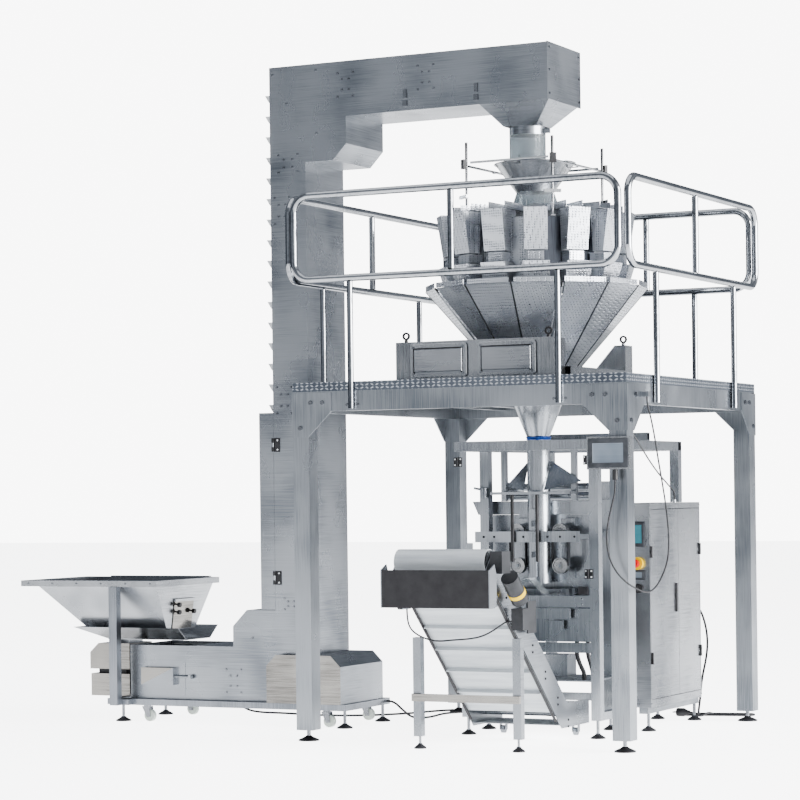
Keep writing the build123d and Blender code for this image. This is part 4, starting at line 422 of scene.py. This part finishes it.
# a dark studio to the left and a bright one to the right, as the steel shows; the camera itself sees white
BACKDROP = (4.5, 4.5, 4.5, 1)
world = bpy.data.worlds.new("studio")
bpy.context.scene.world = world
world.use_nodes = True
sky = world.node_tree
background = sky.nodes["Background"]
direction = node(sky, "ShaderNodeTexCoord")
parts = node(sky, "ShaderNodeSeparateXYZ")
link(sky, direction.outputs["Generated"], parts.inputs["Vector"])
side = spread(sky, parts.outputs["X"], 0, 1, -0.35, 0.85)
height = spread(sky, parts.outputs["Z"], 0, 1, -0.15, 0.8)
around_sky = ramp(sky, side, [(0.0, (0.07, 0.085, 0.11)), (0.45, (0.1, 0.12, 0.15)), (0.78, (0.6, 0.62, 0.66)),
                               (1.0, (2.6, 2.6, 2.6))])
above = node(sky, "ShaderNodeMix", data_type="RGBA", blend_type="MIX")
link(sky, height, above.inputs["Factor"])
link(sky, around_sky, above.inputs["A"])
above.inputs["B"].default_value = (0.3, 0.32, 0.35, 1)
path = node(sky, "ShaderNodeLightPath")
shown = node(sky, "ShaderNodeMix", data_type="RGBA", blend_type="MIX")
link(sky, path.outputs["Is Camera Ray"], shown.inputs["Factor"])
link(sky, above.outputs["Result"], shown.inputs["A"])
shown.inputs["B"].default_value = BACKDROP
link(sky, shown.outputs["Result"], background.inputs["Color"])


def area_light(name, place, target, size, watts, tint=(1, 1, 1)):
    """A rectangular light at a place, turned to a target, in metres."""
    data = bpy.data.lights.new(name, "AREA")
    data.shape = "RECTANGLE"
    data.size, data.size_y = size
    data.energy = watts
    data.color = tint
    light = bpy.data.objects.new(name, data)
    light.location = place
    aim = Vector(target) - Vector(place)
    light.rotation_euler = aim.to_track_quat("-Z", "Y").to_euler()
    bpy.context.scene.collection.objects.link(light)


area_light("right_wall", (15.0, 0.5, 5.0), (1.0, 0.2, 1.6), (11, 9), 3800)
area_light("overhead", (0.5, -1.5, 9.0), (0.5, 0.0, 0.0), (9, 8), 230, (0.97, 0.98, 1))
area_light("front_fill", (-3.0, -10.0, 4.5), (0.0, 0.0, 1.6), (6, 5), 30, (0.93, 0.96, 1))

FLOOR_SIZE = 45                             # m
FLOOR_GLOW, FLOOR_GLOW_SEEN = 1.3, 3.2       # what it gives off, and what the camera sees of it

floor_mesh = bpy.data.meshes.new("floor")
made = bmesh.new()
bmesh.ops.create_grid(made, x_segments=8, y_segments=8, size=FLOOR_SIZE)
made.to_mesh(floor_mesh)
made.free()
floor = bpy.data.objects.new("floor", floor_mesh)
floor.location = (0, 0, -0.0005)            # just under the feet
floor_mat, floor_tree, floor_bsdf = shader("floor_pale", (0.86, 0.865, 0.87), 0.6)
floor_tones = [(0.3, (0.84, 0.845, 0.85)), (0.7, (0.88, 0.885, 0.89))]
link(floor_tree, ramp(floor_tree, noise(floor_tree, object_space(floor_tree), 0.3, 2), floor_tones),
     floor_bsdf.inputs["Base Color"])
floor_bsdf.inputs["Emission Color"].default_value = (1, 1, 1, 1)
seen = node(floor_tree, "ShaderNodeLightPath").outputs["Is Camera Ray"]
link(floor_tree, spread(floor_tree, seen, FLOOR_GLOW, FLOOR_GLOW_SEEN), floor_bsdf.inputs["Emission Strength"])
floor_mesh.materials.append(floor_mat)
bpy.context.scene.collection.objects.link(floor)


# ---------------------------------------------------------------- cords

ON_FLOOR = 6.5                              # mm, the middle of a 12 mm lead that lies on the floor


def cord_piece(name, points, diameter, replaced):
    """A smooth NURBS cord through the route's own points, which are in the platform's millimetres."""
    curve = bpy.data.curves.new(name, "CURVE")
    curve.dimensions = "3D"
    curve.resolution_u = 10
    curve.bevel_depth = diameter / 2
    curve.bevel_resolution = 5
    curve.use_fill_caps = True
    spline = curve.splines.new("NURBS")
    spline.points.add(len(points) - 1)
    for spot, point in zip(spline.points, points):
        spot.co = (*at(*point), 1)
    spline.order_u = 3
    spline.use_endpoint_u = True
    curve.materials.append(MATERIALS["cable_black"])
    piece = bpy.data.objects.new(name, curve)
    bpy.context.scene.collection.objects.link(piece)
    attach(piece, "line")
    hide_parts(*replaced)


def hank_points(centre, turn, half_run, half_widths, height, start):
    """Control points of a flat hank that is wound inwards, one turn from each half width to the next.

    A stop is either a side (-1 or 1) with a share of the straight run, or a bend with an angle in degrees.
    """
    bulge = 1.05
    along = Vector((math.cos(turn), math.sin(turn), 0))
    across = Vector((-math.sin(turn), math.cos(turn), 0))
    stops = [(-1, start), (-1, -0.8)]
    stops += [("left", angle) for angle in (-72, -36, 0, 36, 72)]
    stops += [(1, -0.75), (1, -0.25), (1, 0.25), (1, 0.75)]
    stops += [("right", angle) for angle in (72, 36, 0, -36, -72)]
    stops += [(-1, 0.75), (-1, 0.3), (-1, -0.15)]
    points = []
    for first, last in zip(half_widths, half_widths[1:]):
        for step, (side, value) in enumerate(stops):
            wide = first + (last - first) * step / len(stops)
            if side in ("left", "right"):
                outward = -1 if side == "left" else 1
                angle, reach = math.radians(value), wide * bulge
                spot = outward * (half_run + reach * math.cos(angle)), reach * math.sin(angle)
            else:
                spot = half_run * value, side * wide
            place = Vector(centre) + along * spot[0] + across * spot[1]
            points.append((place.x, place.y, height))
    return points[1:]


PANEL = [(858, -971, 1292), (858, -971, 1238), (842, -980, 1170), (826, -986, 1098), (817, -988, 1030),
         (822, -990, 962), (840, -988, 898), (872, -976, 842), (908, -948, 800), (938, -898, 772),
         (952, -836, 756), (954, -770, 760), (952, -704, 776), (950, -640, 806), (950, -578, 852),
         (950, -530, 908), (948, -510, 976), (948, -514, 1048), (948, -532, 1118), (950, -558, 1186),
         (950, -586, 1254), (950, -616, 1324), (950, -648, 1394), (950, -676, 1466), (948, -704, 1538),
         (944, -730, 1604), (936, -748, 1652), (936, -748, 1688)]
SENSOR = [(-136, -1195, 690), (-136, -1195, 652), (-146, -1158, 602), (-144, -1108, 566), (-100, -1080, 536),
          (-35, -1070, 522), (40, -1066, 530), (118, -1064, 535), (190, -1066, 546), (258, -1080, 574),
          (318, -1100, 608), (350, -1106, 626), (386, -1106, 626)]
ELEVATOR = [(-975, 232, 110), (-938, 232, 110), (-898, 250, 66), (-872, 306, 20), (-852, 374, 8),
            (-838, 460, ON_FLOOR), (-842, 556, ON_FLOOR), (-860, 652, ON_FLOOR), (-852, 750, ON_FLOOR),
            (-802, 832, ON_FLOOR), (-716, 878, ON_FLOOR), (-620, 884, ON_FLOOR), (-522, 866, ON_FLOOR),
            (-444, 850, 8), (-394, 842, 26), (-356, 837, 66), (-326, 836, 104), (-287.4, 836, 108)]
FEEDER = [(-2000, 260, 110), (-2000, 298, 110), (-1986, 344, 66), (-1948, 392, 22), (-1880, 424, 8),
          (-1786, 438, ON_FLOOR), (-1680, 424, ON_FLOOR), (-1574, 398, ON_FLOOR), (-1468, 384, ON_FLOOR),
          (-1362, 394, ON_FLOOR), (-1262, 434, ON_FLOOR), (-1172, 500, ON_FLOOR), (-1098, 584, ON_FLOOR),
          (-1040, 678, ON_FLOOR), (-1004, 780, ON_FLOOR), (-960, 876, ON_FLOOR), (-890, 954, ON_FLOOR),
          (-796, 1000, ON_FLOOR), (-692, 1014, ON_FLOOR), (-588, 1010, ON_FLOOR), (-486, 994, ON_FLOOR),
          (-400, 976, 8), (-336, 954, 26), (-288, 926, 62), (-266, 904, 90), (-262, 885, 100),
          (-262, 860, 100)]
DECK = [(878, -835, 1530), (874, -796, 1526), (722, -120, 1352), (572, 545, 1240), (560, 594, 1231),
        (556, 610, 1215), (556, 610, 1189)]
MAINS = [(565, 890.5, 600), (568, 936, 597), (580, 966, 548), (594, 978, 474), (598, 980, 396),
         (588, 978, 316), (568, 982, 240), (556, 984, 174), (551, 984, 118), (543, 990, 72), (532, 1004, 36),
         (524, 1026, 18), (516.4, 1050, 17)]
HANK = hank_points((595, 1128, 0), turn=math.radians(14), half_run=159, half_widths=(50, 37.5, 25, 24),
                   height=ON_FLOOR, start=-0.6)
TAIL = [(585, 1094, 10), (576, 1078, 18.5), (566, 1062, 19.5), (556, 1046, 15), (546, 1032, 8),
        (534, 1020, ON_FLOOR), (520, 1012, 8), (507, 1010, 15), (495, 1010, 22), (481, 1010, 24)]

cord_piece("panel_lead", PANEL, 0.008, ["panel_cable"])
cord_piece("sensor_lead", SENSOR, 0.008, ["sensor_cable"])
cord_piece("elevator_lead", ELEVATOR, 0.012, ["elevator_cable"])
cord_piece("feeder_lead", FEEDER, 0.012, ["feeder_cable"])
cord_piece("deck_lead", DECK, 0.008, ["deck_cable"])
cord_piece("mains_lead", MAINS + HANK + TAIL, 0.012,
           ["mains_cable", "mains_hank"])


# ---------------------------------------------------------------- added pieces

X, Y, Z = Vector((1, 0, 0)), Vector((0, 1, 0)), Vector((0, 0, 1))
TUBE = Vector((40, 0, 0))                   # the axis of the weigher and of the forming tube


def mesh_piece(name, build, materials):
    """A mesh piece made by build(bmesh), which rides on the line's fixed body."""
    made = bmesh.new()
    build(made)
    mesh = bpy.data.meshes.new(name)
    bmesh.ops.recalc_face_normals(made, faces=made.faces)
    made.to_mesh(mesh)
    made.free()
    for key in materials:
        mesh.materials.append(MATERIALS[key])
    piece = bpy.data.objects.new(name, mesh)
    bpy.context.scene.collection.objects.link(piece)
    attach(piece, "line")


def circle(middle, radius, first, second, count):
    """Points round a middle, in the plane of two unit vectors."""
    turns = [math.tau * j / count for j in range(count)]
    return [middle + radius * (math.cos(turn) * first + math.sin(turn) * second) for turn in turns]


def skin(made, outlines, endless=False, materials=None):
    """Faces from each outline to the next, with caps on both ends, or round to the first again if endless."""
    loops = [[made.verts.new(at(*point)) for point in outline] for outline in outlines]
    count = len(loops[0])
    materials = materials or [0] * len(loops)
    for lower, upper, material in zip(loops, loops[1:] + (loops[:1] if endless else []), materials):
        for j in range(count):
            face = made.faces.new((lower[j], lower[(j + 1) % count], upper[(j + 1) % count], upper[j]))
            face.material_index = material
    if not endless:
        made.faces.new(loops[-1]).material_index = materials[-1]
        made.faces.new(loops[0][::-1])


def rounded(width, height, radius, steps=5):
    """Corner points of a rounded rectangle about the origin."""
    outline = []
    for side_x, side_y, start in ((1, 1, 0), (-1, 1, 90), (-1, -1, 180), (1, -1, 270)):
        for step in range(steps + 1):
            turn = math.radians(start + 90 * step / steps)
            outline.append((side_x * (width / 2 - radius) + radius * math.cos(turn),
                            side_y * (height / 2 - radius) + radius * math.sin(turn)))
    return outline


def raised_panel(name, centre, size, radius, gap, levels, materials):
    """A rounded plate on a front face that steps in and out: levels are (inset, height, material)."""
    sharpest = 1.5
    outlines = []
    for inset, out, _ in [(0, 0, 0), *levels]:
        outline = rounded(size[0] - 2 * inset, size[1] - 2 * inset, max(radius - inset, sharpest))
        outlines.append([Vector(centre) + a * X + b * Z - (out + gap) * Y for a, b in outline])
    steps = [material for _, _, material in levels]
    mesh_piece(name, lambda made: skin(made, outlines, materials=steps), materials)


# operator screens: dark bezel, sunken glass
raised_panel("operator_screen", (512, 117, 1015), (124, 118), 6, 0.2,
             [(0, 3, 0), (2, 4, 0), (12, 4, 0), (14, 1.5, 1)], ["bezel_dark", "screen_teal"])
raised_panel("counter_display", (519, 118, 805), (96, 42), 4, 0.2,
             [(0, 2, 0), (1, 3, 0), (6, 3, 0), (7, 1.5, 1)], ["bezel_dark", "screen_grey"])
raised_panel("touch_screen", (831, -990, 1419.5), (204, 140), 7, 0.2,
             [(0, 2.5, 0), (1.5, 3.5, 0), (24, 3.5, 0), (26, 1.5, 1)],
             ["bezel_dark", "screen_grey"])

# raised rounded doors on the weigher's two boxes, each with a dark seam round it
for number, middle_x in ((1, -246), (2, 130.5)):
    raised_panel(f"weigher_box_door_{number}", (middle_x, -590, 1908), (318, 168), 14, 0.3,
                 [(0, 2, 0), (2, 3.5, 0), (20, 3.5, 0), (22, 1.5, 2), (24, 1.5, 2), (27, 7.5, 1), (30, 8.5, 1)],
                 ["weigher_steel", "cabinet_steel", "seam_black"])


def chute_seams(made):
    """Dark gaskets along the seams between the weigher's chutes, kept dark also as painted shade of the gaps
    behind them.
    """
    count, first_turn, step = 14, -66.3, 25.714
    foot, head = (176, 1832), (560, 2285)       # radius to a chute's middle, and height
    section = ((-5, 1, -1), (-4, 3.2, -3), (4, 3.2, -3), (5, 1, -1), (4, -2, 2), (-4, -2, 2))
    corner = 1 / math.cos(math.radians(step / 2))
    for k in range(count):
        turn = math.radians(first_turn + step * (k + 0.5))
        out = math.cos(turn) * X + math.sin(turn) * Y
        side = Z.cross(out)
        skin(made, [[TUBE + height * Z + out * (radius * corner) + side * a + out * b + Z * c
                     for a, b, c in section] for radius, height in (foot, head)])


def motor_band(made):
    """The yellow band round the conveyor's gearmotor."""
    foot, along = Vector((426, -1240, 840)), Vector((0, 0.735, -0.678))
    profile = ((98, 42), (98, 43.2), (99, 43.8), (121, 43.8), (122, 43.2), (122, 42))   # place and radius
    skin(made, [circle(foot + along * place, radius, X, along.cross(X), 40) for place, radius in profile],
         endless=True)


def tie(made):
    """A cord tied twice where the product funnel meets the forming tube, with two ends hanging in front."""
    for height, radius, thick, wave in ((1512, 59, 4.5, 1.2), (1521, 62, 4, 1.6)):
        outlines = []
        for turn in (math.tau * i / 48 for i in range(48)):
            out = math.cos(turn) * X + math.sin(turn) * Y
            middle = TUBE + height * Z + out * (radius + wave * math.sin(5 * turn))
            outlines.append(circle(middle, thick, out, Z, 10))
        skin(made, outlines, endless=True)
    for lean, drop in ((-15, 34), (10.5, 44)):
        ends = [(66 + lean * share, -64 - 10 * math.sin(math.pi * share), 1520 - drop * share)
                for share in (i / 8 for i in range(9))]
        skin(made, [circle(Vector(spot), 3.4, X, Y, 10) for spot in ends])


mesh_piece("chute_gaskets_and_gap_shade", chute_seams, ["seam_black"])
mesh_piece("motor_band", motor_band, ["stop_yellow"])


def screws(name, spots, outward, radius, height, key):
    """Domed screw heads with a sunken socket, standing on the spots and facing outward."""
    # shares of the radius and of the height
    profile = ((1, 0), (1, 0.45), (0.86, 0.8), (0.55, 1), (0.42, 1), (0.38, 0.55))

    def build(made):
        for spot in spots:
            skin(made, [circle(Vector(spot) + outward * height * out, radius * reach, Z, outward.cross(Z), 14)
                        for reach, out in profile])

    mesh_piece(name, build, [key])


def conveyor_side(x):
    """Pairs of spots down the conveyor's side at x, which falls 0.9228 mm for each millimetre it runs back."""
    return [(x, y, 912 - 0.9228 * (y + 1300) + lift) for y in (-1130, -980, -830, -680, -530, -400)
            for lift in (-16, 18)]


screws("elevator_hinge_screws", [(-1388, -221, z) for z in (769, 819, 1482, 1532)], -Y, 5, 2.5, "film")
screws("guard_hinge_screws", [(x + a, -336, z + b) for x, z in ((452, 1396), (-265, 1396), (452, 825))
                              for a in (-15, 15) for b in (-15, 15)], -Y, 4.5, 2.5, "film")
screws("conveyor_side_screws", conveyor_side(360), X, 6, 4, "seam_black")
screws("conveyor_left_screws", conveyor_side(-128), -X, 6, 4, "seam_black")
screws("seal_beam_screws", [(x, -325, z) for x in (-180, -60, 60, 410) for z in (672, 700)], -Y, 5.5, 4,
       "bolt_steel")
screws("jaw_beam_screws", [(x, -128, 1008) for x in (-220, -160, 5, 140, 210, 290)], -Y, 6, 5, "seam_black")
screws("cabinet_side_screws", [(600, y, z) for y in (131, 866) for z in (1158, 142)], X, 5, 2.5, "bolt_steel")
screws("hopper_rim_screws", [(x, -335, 761) for x in range(-2930, -2100, 160)], -Y, 6, 3, "bolt_steel")

mesh_piece("funnel_tie", tie, ["tie_blue"])
